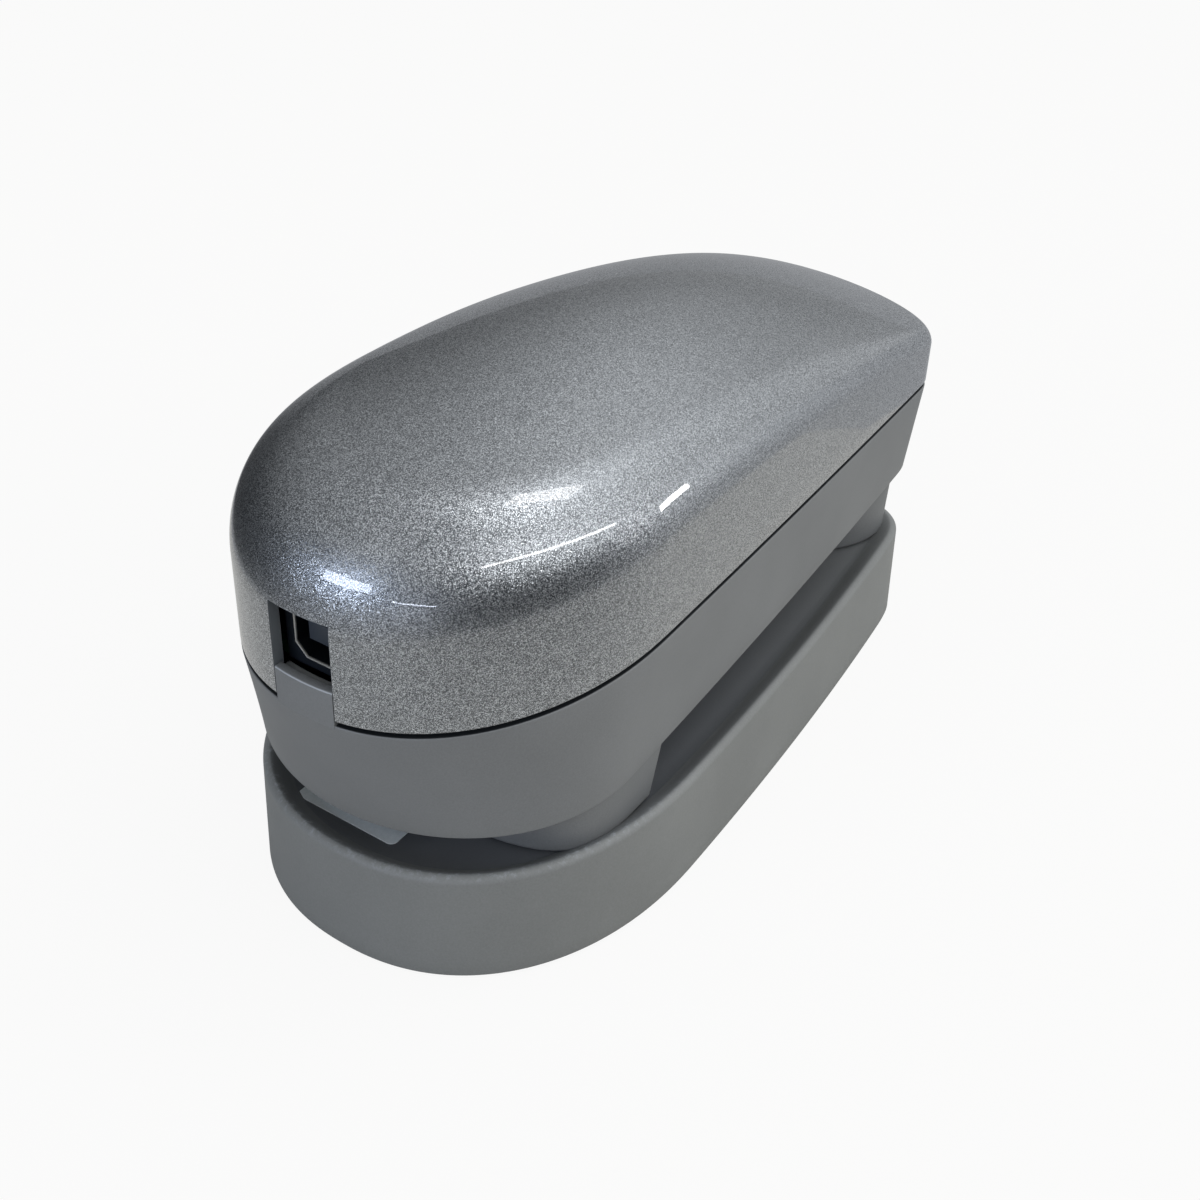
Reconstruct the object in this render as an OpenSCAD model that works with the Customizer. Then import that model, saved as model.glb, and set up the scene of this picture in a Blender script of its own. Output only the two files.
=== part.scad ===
// Handheld spectrophotometer parked on its calibration base.
// X runs along the instrument with the measuring end at +X and the socket at -X.
// The button is on the +Y side. Z is up and the base stands on Z = 0. Sizes are millimetres.

/* [Instrument] */
// Length of the instrument
body_l = 151; // [142:1:165]
// Width of the instrument at the seam
body_w = 66; // [63:0.5:72]
// Length of the rounded rear end, seen from above
rear_round = 44.3; // [38:0.1:50]
// Length of the rounded measuring end, seen from above
nose_round = 11; // [8:0.5:16]
// How much each side narrows towards the measuring end
side_taper = 1.2; // [0:0.1:2.5]
// Height of the seam above the feet at mid length
seam_h = 32.7; // [31:0.1:36]
// How much the seam climbs along the length
seam_rise = 3.4; // [0:0.1:5]
// Height of the lower lip above the feet at mid length
lip_h = 12.9; // [11:0.1:14]
// How much the lower lip climbs along the length
lip_rise = 7.5; // [4:0.1:8]
// How far the rear of the lip lies inside the rear of the seam
lip_rear_in = 5; // [3:0.1:6]
// How far the front of the lip lies inside the front of the seam
lip_front_in = 2.5; // [1:0.1:4]
// Length of the rounded rear end at the lip
lip_round = 29.7; // [26:0.1:36]

/* [Top cover] */
// Wall thickness of the cover
cover_t = 2; // [1.6:0.1:2.6]
// Height of the crest above the seam
crest_h = 35.3; // [33.5:0.1:37]
// Place of the crest along the length
crest_x = -15.3; // [-20:0.1:-10]
// Fall of the crest from its top to the rear end
crest_rear_drop = 5.2; // [4.2:0.1:6.5]
// Fall of the crest from its top to the measuring end
crest_front_drop = 20.6; // [18:0.1:21.5]
// Height of the side wall at the rear, up to the crease
wall_rear_h = 29; // [27.5:0.1:30]
// Height of the side wall at the measuring end, up to the crease
wall_front_h = 9.6; // [9:0.1:11.5]
// Place along the length where the side wall starts to fall
wall_fall_x = -58; // [-64:0.1:-50]
// Size of the crease rounding at the rear
crease_rear_r = 15.3; // [13:0.1:16]
// Size of the crease rounding at the measuring end
crease_front_r = 2.5; // [1.8:0.1:3]

/* [Seam] */
// Open shadow gap between cover and housing
seam_gap = 0.8; // [0.5:0.1:1.2]
// Height of the locating tongue above the seam
tongue_h = 3; // [2:0.1:4]
// Thickness of the locating tongue
tongue_t = 1.1; // [0.9:0.1:1.4]
// Side clearance between pieces that slip into each other
slip = 0.15; // [0.1:0.01:0.25]

/* [Lower housing] */
// Wall thickness of the housing
housing_t = 2.2; // [2:0.1:2.8]
// Floor thickness of the housing
floor_t = 2.2; // [1.8:0.1:3]

/* [Feet] */
// Distance of the rear foot from the rear end
rear_foot_in = 20; // [18:0.5:24]
// Length of the rear foot at the ground
rear_foot_l = 24; // [20:0.5:28]
// Width of the rear foot
rear_foot_w = 64; // [58:0.5:65]
// Forward slope of the rear foot's front face
rear_foot_lean = 3.5; // [1:0.1:5]
// Length of the measuring head at the ground
head_l = 27.5; // [26:0.5:29]
// Width of the measuring head
head_w = 56.5; // [50:0.5:57]
// Distance of the measuring head from the measuring end, at the ground
head_in = 5.5; // [5:0.1:6.5]
// Forward slope of the measuring head's front
head_lean = 2; // [0:0.1:2.3]
// How far the glides and the aperture plate stand out of the feet
glide_out = 0.3; // [0.2:0.05:0.6]
// Thickness of the rear glides
glide_t = 1; // [0.8:0.1:1.5]
// Length of a rear glide
glide_l = 20; // [14:0.5:24]
// Width of a rear glide
glide_w = 6; // [4:0.5:8]
// Distance between the two rear glides
glide_pitch = 28; // [20:0.5:34]

/* [Socket] */
// Width of the notch in the cover
notch_w = 11; // [10:0.1:12]
// Height of the notch above the seam
notch_h = 17; // [16:0.1:19]
// Height of the housing tab in the notch, above the seam
tab_h = 5.8; // [5:0.1:6.3]
// Depth of the ledge on the tab
tab_depth = 3; // [2.4:0.1:3.4]
// Depth of the socket mouth behind the rear end
usb_set_back = 4; // [3.6:0.1:6]
// Width of the socket block
usb_w = 12; // [11.4:0.1:13]
// Height of the socket block
usb_block_h = 10.9; // [10.5:0.1:12]
// Length of the socket block
usb_l = 16; // [14:0.1:18]
// Width of the plug opening
plug_w = 8.45; // [8.2:0.05:8.8]
// Height of the plug opening
plug_h = 7.78; // [7.5:0.02:8.2]
// Size of the two bevelled corners of the plug opening
plug_bevel = 1.9; // [1.4:0.1:2.2]
// Depth of the plug opening
plug_depth = 9.5; // [8.5:0.1:11]
// Thickness of the metal liner
liner_t = 0.3; // [0.2:0.05:0.4]
// Width of the contact tongue
tongue_w = 5.6; // [5:0.1:6]
// Thickness of the contact tongue
tongue_blade_t = 3.2; // [2.8:0.1:3.4]

/* [Boards] */
// Thickness of the circuit boards
board_t = 1.6; // [1:0.1:2]
// Width of the main board
board_w = 36; // [33:0.5:36.5]
// Width of the main board's narrow rear end
board_tail_w = 22; // [18:0.5:24]
// Length of the main board's narrow rear end
board_tail_l = 12; // [9:0.5:14]
// Space between the main board and the optics block
board_space = 4; // [2:0.5:8]
// Distance of the board posts from the edges of the board
board_edge = 4; // [3.5:0.1:6]

/* [Measuring head] */
// Distance of the optical axis from the measuring end
axis_in = 18.5; // [18:0.1:19]
// Diameter of the measuring aperture
aperture_d = 4.5; // [3:0.1:8]
// Diameter of the aperture plate
aperture_plate_d = 22; // [20:0.5:23]
// Thickness of the aperture plate
aperture_plate_t = 1.3; // [1:0.1:2]
// Diameter of the protective window
window_d = 18; // [16:0.5:18.5]
// Thickness of the protective window
window_t = 2; // [1.5:0.1:2.5]
// Diameter of the ring mirror
mirror_d = 20; // [19.4:0.1:20.4]
// Height of the ring mirror
mirror_h = 8; // [7:0.1:8.5]
// Inner diameter of the ring mirror at its top
mirror_top_d = 13; // [12.4:0.1:15]
// Thickness of the ledges that the window and the mirror rest on
ledge_t = 2; // [1.5:0.1:2.2]
// Width of those ledges
ledge_w = 1.2; // [0.8:0.1:1.6]

/* [Optics] */
// Length of the optics block
optics_l = 42; // [38:0.5:44]
// Width of the optics block
optics_w = 34; // [32:0.5:35]
// Height of the optics block without its lid
optics_h = 20; // [18:0.5:22]
// Wall thickness of the optics block
optics_t = 2; // [1.6:0.1:2.6]
// Distance of the optics block from the optical axis
optics_space = 10; // [9:0.1:11]
// Height of the posts below the optics block
optics_lift = 2; // [1:0.1:3]
// Thickness of the plate that carries the lens barrel
nose_plate_t = 4; // [3:0.1:4.6]
// Height of the picked-up light above the block's underside
light_h = 10; // [9.4:0.1:11]
// Outer diameter of the lens barrel
barrel_d = 8.6; // [8.2:0.1:9]
// Length of the lens barrel below the plate
barrel_l = 10.5; // [9:0.1:11]
// Diameter of the barrel's flange
barrel_flange_d = 9.8; // [9.4:0.1:10]
// Diameter of the objective lens
lens_d = 6.4; // [5.5:0.1:6.6]
// Thickness of the objective lens in its middle
lens_t = 2.6; // [2.2:0.1:3]
// Diameter of the lamp's glass
lamp_d = 3.6; // [3:0.1:3.8]
// Distance of the lamp from the optical axis
lamp_off = 7.9; // [7.7:0.05:8.1]
// Diameter of the lamp holder
lamp_holder_d = 5.4; // [5:0.1:5.6]
// Length of the fold mirror
fold_l = 8; // [7:0.1:9]
// Width of the fold mirror
fold_w = 6.4; // [5:0.1:7]
// Thickness of the fold mirror
fold_t = 1.5; // [1:0.1:2]
// Diameter of the grating
grating_d = 13; // [11:0.1:13.4]
// Thickness of the grating
grating_t = 4; // [3:0.1:5]
// Sideways place of the detector from the light's path
detector_off = 9.5; // [9.2:0.1:9.8]
// Length of the detector array
detector_l = 9; // [7:0.1:9.2]
// Height of the detector array
detector_w = 4; // [3:0.1:4.6]

/* [Button] */
// Place of the button along the length
button_x = 8; // [6:0.5:10]
// Length of the button
button_l = 26; // [22:0.5:28]
// Height of the button
button_h = 9; // [8:0.1:10]
// How far the button stands out of the housing
button_out = 1.2; // [1:0.1:1.6]
// Travel of the button
button_travel = 0.8; // [0.6:0.05:1]
// Width of the flange that keeps the button in
button_rim = 1.3; // [1:0.1:1.6]
// Thickness of that flange
button_rim_t = 1.5; // [1:0.1:2]
// Clearance round the button
button_gap = 0.25; // [0.2:0.05:0.35]
// Distance between the flange and the switch board
switch_space = 7; // [6.5:0.1:8]
// Width of the switch
switch_w = 6; // [5:0.1:6.2]
// Height of the switch body
switch_body_h = 2.6; // [2:0.1:3]
// Height of the switch plunger
plunger_h = 0.5; // [0.3:0.1:0.8]
// Wire thickness of the button spring
spring_wire = 0.5; // [0.4:0.05:0.6]
// Coil diameter of the button spring, to the middle of the wire
spring_d = 10.3; // [10:0.1:10.5]
// Turns of the button spring
spring_turns = 4; // [3:1:5]

/* [Calibration base] */
// Width of the base at the rim
base_w = 73.6; // [71:0.1:80]
// Height of the base
base_h = 20.7; // [18:0.1:26]
// Depth of the tray below the rim
tray_depth = 2.4; // [1.6:0.1:3]
// How far the base lies inside the instrument's rear end
base_rear_in = 3.7; // [3.4:0.1:5]
// How far the base lies inside the instrument's measuring end
base_front_in = 0.8; // [0.6:0.1:1]
// Length of the base's rounded rear end
base_round = 47; // [40:0.5:52]
// Length of the base's rounded front end
base_nose = 20; // [14:0.5:30]
// How much each side of the base narrows towards the front
base_taper = 5.4; // [3:0.1:6]
// How much the wall spreads towards the ground
base_draft = 0.5; // [0.2:0.05:0.6]
// Wall thickness of the base
base_wall = 2.5; // [2:0.1:3]
// Thickness of the tray floor
base_floor_t = 2.5; // [2:0.1:3]
// Rounding of the rim
rim_r = 1.2; // [0.8:0.1:1.4]
// Width of the flat on the rim
rim_flat = 0.6; // [0.2:0.1:0.8]
// Width of the sloping edge inside the rim
rim_slope = 0.8; // [0.5:0.1:1]
// Thickness of the bottom plate
plate_t = 2; // [1.6:0.1:3]
// Diameter of the white tile
tile_d = 18; // [16:0.5:19]
// Thickness of the white tile
tile_t = 4; // [3:0.1:5]
// Outer diameter of the tile ring
tile_ring_d = 24; // [22.5:0.5:25]
// Thickness of the tile ring
tile_ring_t = 1; // [0.8:0.1:1.4]
// How far the ring reaches over the tile
tile_hold = 2; // [1:0.1:3]
// Diameter of the rubber feet
pad_d = 10; // [8:0.5:12]
// Thickness of the rubber feet
pad_t = 1.6; // [1.2:0.1:1.9]
// How far the rubber feet stand out of the base
pad_out = 0.5; // [0.4:0.05:0.8]

/* [Screws] */
// Diameter of a screw's shaft
screw_d = 2.9; // [2.4:0.1:3.1]
// Diameter of a screw's head
screw_head_d = 5; // [4.6:0.1:5.4]
// Height of a screw's head
screw_head_h = 1.8; // [1.5:0.1:2]
// Diameter of the bosses and posts
boss_d = 7.2; // [6.8:0.1:7.6]
// Distance of the cover screws from the side walls
cover_screw_in = 7; // [6.6:0.1:7.4]
// Place of the rear cover screws along the length
cover_screw_rear_x = -20; // [-23:0.5:-18]
// Place of the front cover screws along the length
cover_screw_front_x = 36; // [34:0.5:37]
// Length of thread in the cover's posts
cover_thread = 8; // [6:0.5:10]
// Thickness of plastic below a cover screw's head
head_seat_t = 6; // [4:0.5:8]

/* [Hidden] */
$fn = 48;

// Finishes
silver_paint = "#7f8387";
grey_plastic = "#6b7074";
base_grey = "#757b7f";
black_plastic = "#1d2126";
board_green = "#2f6b4a";
steel = "#b9bbbc";
brass_gold = "#c9a552";
glass_tint = "#cfe3ea";
tile_white = "#f2f2ee";

// Ends of the instrument and the height that its feet stand on
rear_x = -body_l / 2;
front_x = body_l / 2;
foot_z = base_h - tray_depth;
sides = [-1, 1];
// Gap between faces that rest on each other, and depth of cuts past a face
seat_gap = 0.05;
past = 1;

// Plain helpers
function mix(a, b, t) = a + (b - a) * t;
function clamp(v, low, high) = min(max(v, low), high);
function smooth(t) = let (c = clamp(t, 0, 1)) c * c * (3 - 2 * c);
function seam_z(x) = foot_z + seam_h + seam_rise * x / body_l;
function lip_z(x) = foot_z + lip_h + lip_rise * x / body_l;
function floor_z(x) = lip_z(x) + floor_t;

// A plan outline: a rounded rear, two sides that narrow, and a squarer rounded front
REAR = 0;
FRONT = 1;
WIDTH = 2;
ROUND = 3;
POWER = 4;
TAPER = 5;
NOSE = 6;
NOSE_POWER = 7;
rear_steps = 18;
side_steps = 8;
nose_steps = 12;
half_steps = rear_steps + side_steps + nose_steps;
ring_n = 2 * half_steps;

function inset(p, d) = [p[REAR] + d, p[FRONT] - d, p[WIDTH] - 2 * d, p[ROUND] - d, p[POWER], p[TAPER],
    max(p[NOSE] - d, 1), p[NOSE_POWER]];
function side_y(p, x) = let (start = p[REAR] + p[ROUND])
    p[WIDTH] / 2 - p[TAPER] * pow(max(x - start, 0) / (p[FRONT] - start), 2);
function rear_point(p, t) =
    [p[REAR] + p[ROUND] * (1 - pow(cos(t), 2 / p[POWER])), p[WIDTH] / 2 * pow(sin(t), 2 / p[POWER])];
function side_point(p, t) =
    let (x = mix(p[REAR] + p[ROUND], p[FRONT] - p[NOSE], t)) [x, side_y(p, x)];
function nose_point(p, t) =
    let (x = p[FRONT] - p[NOSE] * (1 - pow(sin(t), 2 / p[NOSE_POWER])))
    [x, side_y(p, x) * pow(cos(t), 2 / p[NOSE_POWER])];
function half_point(p, k) =
    k <= rear_steps ? rear_point(p, 90 * k / rear_steps)
    : k <= rear_steps + side_steps ? side_point(p, (k - rear_steps) / side_steps)
    : nose_point(p, 90 * (k - rear_steps - side_steps) / nose_steps);
function outline(p) = [
    for (k = [0:half_steps]) let (h = half_point(p, k)) [h.x, -h.y],
    for (k = [half_steps - 1:-1:1]) half_point(p, k)];
function level(p, z) = [for (o = outline(p)) [o.x, o.y, z]];

// A closed solid through rings of ring_n points; both end rings are closed by strips across Y
function strip(i, first) = let (a = i, b = i + 1, c = ring_n - i - 1, d = (ring_n - i) % ring_n,
    corners = i == 0 ? [a, b, c] : i == half_steps - 1 ? [a, b, d] : [a, b, c, d])
    [for (v = corners) first + v];
function turned(list) = [for (i = [len(list) - 1:-1:0]) list[i]];
module loft(rings) {
    points = [for (r = rings) each r];
    last = (len(rings) - 1) * ring_n;
    walls = [for (r = [0:len(rings) - 2], i = [0:ring_n - 1])
        let (j = (i + 1) % ring_n, low = r * ring_n, high = low + ring_n)
        [low + i, high + i, high + j, low + j]];
    floor_faces = [for (i = [0:half_steps - 1]) strip(i, 0)];
    roof_faces = [for (i = [0:half_steps - 1]) turned(strip(i, last))];
    polyhedron(points, concat(walls, floor_faces, roof_faces), convexity = 6);
}

// Rings on the straight lines from one ring to another
function ruled(low, high, steps) =
    [for (k = [0:steps]) [for (i = [0:len(low) - 1]) mix(low[i], high[i], k / steps)]];

// Outlines of the instrument at the seam and at the lip
seam_power = 2.16;
lip_power = 2.02;
nose_power = 3.5;
lip_flare = 0.2;
lip_taper = side_taper + 1.4;
seam_plan = [rear_x, front_x, body_w, rear_round, seam_power, side_taper, nose_round, nose_power];
lip_plan = [rear_x + lip_rear_in, front_x - lip_front_in, body_w + 2 * lip_flare, lip_round, lip_power,
    lip_taper, nose_round, nose_power];
band_steps = 5;
function on_seam(p, up) = [for (o = outline(p)) [o.x, o.y, seam_z(o.x) + up]];
function on_lip(p, up) = [for (o = outline(p)) [o.x, o.y, lip_z(o.x) + up]];
function wall_y(x, z) = mix(side_y(lip_plan, x), side_y(seam_plan, x),
    (z - lip_z(x)) / (seam_z(x) - lip_z(x)));

// The cover: an upright wall, a rounded crease, and a dome that is round across and falls to both ends
spine_in = 4;
spine_rear = rear_x + rear_round;
spine_front = front_x - nose_round - spine_in;
crest_front_power = 1.93;
wall_power = 1.61;
crease_power = 1.45;
crease_fullness = 0.75;
wall_sink = 0.6;
least_crease_r = 1;
most_crease_share = 0.9;
crease_steps = 6;
dome_steps = 8;
dome_end = 0.97;
slope_step = 0.001;
function share(x) = clamp((x - rear_x) / body_l, 0, 1);
function wall_h(x) = mix(wall_rear_h, wall_front_h,
    pow(clamp((x - wall_fall_x) / (front_x - wall_fall_x), 0, 1), wall_power));
function crease_r(x) = mix(crease_front_r, crease_rear_r, pow(1 - share(x), crease_power));
function crest(x) = crest_h - (x < crest_x
    ? crest_rear_drop * pow((crest_x - x) / (crest_x - rear_x), 2)
    : crest_front_drop * pow((x - crest_x) / (front_x - crest_x), crest_front_power));
function dome_h(x, y, deep) = mix(crest(x) - deep, wall_h(x) - wall_sink * deep,
    pow(y / (side_y(seam_plan, x) - deep), 2));
// One column of the cover, from the wall over the crease to the spine, at a depth below the outside.
// The crease is a conic that leaves the wall upright and meets the dome on the dome's own slope
function towards_spine(o, u) = [mix(o.x, clamp(o.x, spine_rear, spine_front), u), o.y * (1 - u)];
function dome_at(o, u, deep) = let (q = towards_spine(o, u)) dome_h(q.x, q.y, deep);
function dome_slope(o, u, deep) =
    (dome_at(o, u + slope_step, deep) - dome_at(o, u - slope_step, deep)) / (2 * slope_step);
function crease_share(o, r) = min(r / norm(o - towards_spine(o, 1)), most_crease_share);
function crease_weight(t) = pow(1 - t, 2) + 2 * crease_fullness * t * (1 - t) + t * t;
function crease_h(o, r, c, deep, t) = let (low = dome_at(o, 0, deep) - r, knee = dome_at(o, c, deep),
    corner = knee - c * dome_slope(o, c, deep))
    (pow(1 - t, 2) * low + 2 * crease_fullness * t * (1 - t) * corner + t * t * knee) / crease_weight(t);
function column_point(o, r, c, deep, i) = let (t = i / crease_steps, on_dome = i > crease_steps,
    u = on_dome ? mix(c, dome_end, (i - crease_steps) / dome_steps) : c * t * t / crease_weight(t),
    q = towards_spine(o, u))
    [q.x, q.y, seam_z(q.x) + (on_dome ? dome_h(q.x, q.y, deep) : crease_h(o, r, c, deep, t))];
function column(o, deep) = let (r = max(crease_r(o.x) - deep, least_crease_r), c = crease_share(o, r))
    [for (i = [0:crease_steps + dome_steps]) column_point(o, r, c, deep, i)];
function cover_rings(p, deep) = let (columns = [for (o = outline(p)) column(o, deep)])
    [for (k = [0:crease_steps + dome_steps]) [for (c = columns) c[k]]];

// Height of the cover's outside above the seam, at a place on its side
function crease_t(q) = let (g = q * (1 - crease_fullness), k = 1 - 2 * g)
    (sqrt(g * g + q * k) - g) / k;
function cover_h(x, y) = let (half = side_y(seam_plan, x), o = [x, half], r = crease_r(x), u = 1 - y / half,
    c = crease_share(o, r))
    u < c ? crease_h(o, r, c, 0, crease_t(u / c)) : dome_h(x, y, 0);

// Screws of the cover: bosses on the housing floor meet posts that hang from the cover
cover_screw_x = [cover_screw_rear_x, cover_screw_front_x];
shoulder_h = tongue_h + seat_gap;
cover_boss_up = 1;
screw_end = 1.5;
screw_r = screw_d / 2;
head_r = screw_head_d / 2;
boss_r = boss_d / 2;
thread_r = screw_r + seat_gap;
shank_r = screw_r + slip;
function cover_screw_y(x) = side_y(seam_plan, x) - cover_screw_in;
function boss_top(x) = seam_z(x) + cover_boss_up;
module at_cover_screws() {
    for (x = cover_screw_x, s = sides) translate([x, s * cover_screw_y(x), 0]) children();
}

// One screw along +Z with its head's seat at Z = 0 and a six-sided socket
module screw(length) {
    socket_r = 0.5 * head_r;
    socket_depth = 0.6 * screw_head_h;
    difference() {
        union() {
            translate([0, 0, -screw_head_h]) cylinder(r = head_r, h = screw_head_h);
            cylinder(r = screw_r, h = length);
        }
        translate([0, 0, -screw_head_h - past]) cylinder(r = socket_r, h = past + socket_depth, $fn = 6);
    }
}

// A bar with round ends along X, standing on Z = 0
module round_bar(length, width, height) {
    for (s = sides) translate([s * (length - width) / 2, 0, 0]) cylinder(d = width, h = height);
    translate([-(length - width) / 2, -width / 2, 0]) cube([length - width, width, height]);
}

// Socket heights
tab_top_z = seam_z(rear_x) + tab_h;
usb_mouth_x = rear_x + usb_set_back;
plug_lift = 0.8;
notch_past = 2;
usb_bottom_z = tab_top_z - (usb_block_h - plug_h) / 2 + plug_lift;
plug_z = usb_bottom_z + usb_block_h / 2;
notch_depth = usb_set_back + notch_past;

// Boards
board_z = usb_bottom_z - board_t;
board_set_back = 2;
board_rear_x = usb_mouth_x + board_set_back;
axis_x = front_x - axis_in;
optics_front_x = axis_x - optics_space;
optics_rear_x = optics_front_x - optics_l;
board_front_x = optics_rear_x - board_space;
board_post_x = [board_rear_x + board_tail_l + board_edge, board_front_x - board_edge];
board_post_y = board_w / 2 - board_edge;
module at_board_posts() {
    for (x = board_post_x, s = sides) translate([x, s * board_post_y, 0]) children();
}

// Optics
optics_z = floor_z(optics_front_x) + optics_lift;
optics_top_z = optics_z + optics_h;
light_z = optics_z + light_h;
optics_screw_in = 4;
optics_floor_extra = 1;
optics_screw_edge = optics_t + optics_screw_in;
optics_screw_x = [optics_rear_x + optics_screw_edge, optics_front_x - optics_screw_edge];
optics_screw_y = optics_w / 2 - optics_screw_edge;
optics_floor_t = optics_t + optics_floor_extra;
module at_optics_screws() {
    for (x = optics_screw_x, s = sides) translate([x, s * optics_screw_y, 0]) children();
}
window_low_z = foot_z + aperture_plate_t;
window_top_z = window_low_z + window_t;
mirror_low_z = window_top_z + ledge_t;
bore_r = mirror_d / 2 + slip;
nose_plate_top = optics_z + nose_plate_t;

// Button
button_z = mix(lip_z(button_x), seam_z(button_x), 0.5);
button_face_y = wall_y(button_x, button_z) + button_out;
flange_out_y = wall_y(button_x + button_l / 2, button_z) - housing_t - button_gap - slip;
flange_in_y = flange_out_y - button_rim_t;
switch_board_y = flange_in_y - switch_space;
switch_post_r = 2.4;
switch_post_space = 0.9;
switch_thread = 4.5;
switch_board_edge = 0.6;
switch_post_off = button_l / 2 + button_rim + switch_post_r + switch_post_space;
switch_board_l = 2 * (switch_post_off + switch_post_r + switch_board_edge);
switch_board_rim = 1;
switch_board_h = spring_d + 2 * switch_board_rim;
module at_button() {
    translate([button_x, 0, button_z]) rotate([-90, 0, 0]) children();
}
module at_switch_posts() {
    for (s = sides) translate([button_x + s * switch_post_off, 0, button_z]) rotate([-90, 0, 0]) children();
}

// Base
base_rear_x = rear_x + base_rear_in;
base_front_x = front_x - base_front_in;
base_power = 2.23;
base_nose_power = 4;
base_plan = [base_rear_x, base_front_x, base_w, base_round, base_power, base_taper, base_nose,
    base_nose_power];
base_bottom_plan = inset(base_plan, -base_draft);
rim_in = rim_r + rim_flat;
plate_top_z = pad_out + plate_t;
tile_top_z = foot_z - tile_ring_t;
tile_cup_r = tile_d / 2 + base_wall;
base_screw_in = 24;
base_screw_side_in = 15;
base_screw_y = base_w / 2 - base_screw_side_in;
// Feet: how far in from the rear and the front end, and how far out to each side
pad_in = [14, 12];
pad_y = [14, 18];
module at_base_screws() {
    for (x = [base_rear_x + base_screw_in, base_front_x - base_screw_in], s = sides)
        translate([x, s * base_screw_y, 0]) children();
}
module at_pads() {
    for (s = sides) {
        translate([base_rear_x + pad_in[0], s * pad_y[0], 0]) children();
        translate([base_front_x - pad_in[1], s * pad_y[1], 0]) children();
    }
}

// Oval tray with a drafted wall, a rounded rim and a sloping inner edge
module base_shell() {
    quarter = [for (a = [0, 30, 60, 90]) [rim_r * (1 - cos(a)), rim_r * (1 - sin(a))]];
    rings = concat(
        [level(inset(base_plan, base_wall), foot_z - base_floor_t),
            level(inset(base_bottom_plan, base_wall), pad_out),
            level(base_bottom_plan, pad_out)],
        [for (q = quarter) level(inset(base_plan, q[0]), base_h - q[1])],
        [level(inset(base_plan, rim_in), base_h), level(inset(base_plan, rim_in + rim_slope), foot_z)]);
    boss_low = plate_top_z;
    floor_mid_z = foot_z - base_floor_t / 2;
    color(base_grey) difference() {
        union() {
            loft(rings);
            at_base_screws() translate([0, 0, boss_low]) cylinder(r = boss_r, h = floor_mid_z - boss_low);
            translate([axis_x, 0, tile_top_z - tile_t - base_wall])
                cylinder(r = tile_cup_r, h = tile_t + base_wall);
        }
        at_base_screws() translate([0, 0, boss_low - past])
            cylinder(r = thread_r, h = past + cover_thread + screw_end);
        translate([axis_x, 0, tile_top_z]) cylinder(d = tile_ring_d + 2 * slip, h = tile_ring_t + past);
        translate([axis_x, 0, tile_top_z - tile_t]) cylinder(d = tile_d + 2 * slip, h = tile_t + past);
    }
}

// Plate that closes the underside, with pockets for the feet and the screw heads
module base_plate() {
    color(black_plastic) difference() {
        translate([0, 0, pad_out]) linear_extrude(plate_t)
            polygon(outline(inset(base_bottom_plan, base_wall + slip)));
        at_pads() translate([0, 0, pad_out - past])
            cylinder(d = pad_d + 2 * slip, h = past + pad_t - pad_out);
        at_base_screws() {
            cylinder(r = shank_r, h = plate_top_z + past);
            translate([0, 0, pad_out - past]) cylinder(r = head_r + slip, h = past + plate_t / 2);
        }
    }
}

module base_feet() {
    color("#26282b") at_pads() cylinder(d = pad_d, h = pad_t);
}

module base_screws() {
    color(steel) at_base_screws() translate([0, 0, pad_out + plate_t / 2]) intersection() {
        screw(plate_t / 2 + cover_thread);
        translate([0, 0, -plate_t / 2]) cylinder(r = head_r, h = plate_t + cover_thread);
    }
}

module white_tile() {
    color(tile_white) translate([axis_x, 0, tile_top_z - tile_t]) cylinder(d = tile_d, h = tile_t);
}

module tile_ring() {
    color(black_plastic) translate([axis_x, 0, tile_top_z]) difference() {
        cylinder(d = tile_ring_d, h = tile_ring_t);
        translate([0, 0, -past])
            cylinder(d1 = tile_d - 2 * tile_hold, d2 = tile_d, h = tile_ring_t + 2 * past);
    }
}

// Posts of the cover, each tied to the side wall by a rib
rib_t = 1.6;
rib_space = 1;
module cover_post(x, s) {
    y = cover_screw_y(x);
    low = boss_top(x);
    top = seam_z(x) + cover_h(x, y + boss_r) - cover_t / 2;
    rib_l = side_y(seam_plan, x) - cover_t / 2 - y;
    translate([x, s * y, low]) cylinder(r = boss_r, h = top - low);
    rib_low = seam_z(x) + shoulder_h + rib_space;
    rib_top = seam_z(x) + wall_h(x) - crease_r(x);
    translate([x - rib_t / 2, s > 0 ? y : -y - rib_l, rib_low]) cube([rib_t, rib_l, rib_top - rib_low]);
}

// Domed cover: one shell, with a rebate round its lower edge and the notch for the socket
module top_cover() {
    inner = cover_rings(inset(seam_plan, cover_t), cover_t);
    outer = cover_rings(seam_plan, 0);
    rebate = housing_t - tongue_t - slip;
    rings = concat(turned(inner),
        [on_seam(inset(seam_plan, cover_t), shoulder_h), on_seam(inset(seam_plan, rebate), shoulder_h),
            on_seam(inset(seam_plan, rebate), seam_gap), on_seam(seam_plan, seam_gap)],
        outer);
    color(silver_paint) difference() {
        union() {
            loft(rings);
            for (x = cover_screw_x, s = sides) cover_post(x, s);
        }
        translate([rear_x - past, -notch_w / 2, seam_z(rear_x) - past])
            cube([notch_depth + past, notch_w, notch_h + past]);
        at_cover_screws() translate([0, 0, foot_z])
            cylinder(r = thread_r, h = seam_h + seam_rise + cover_boss_up + cover_thread);
    }
}

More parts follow.
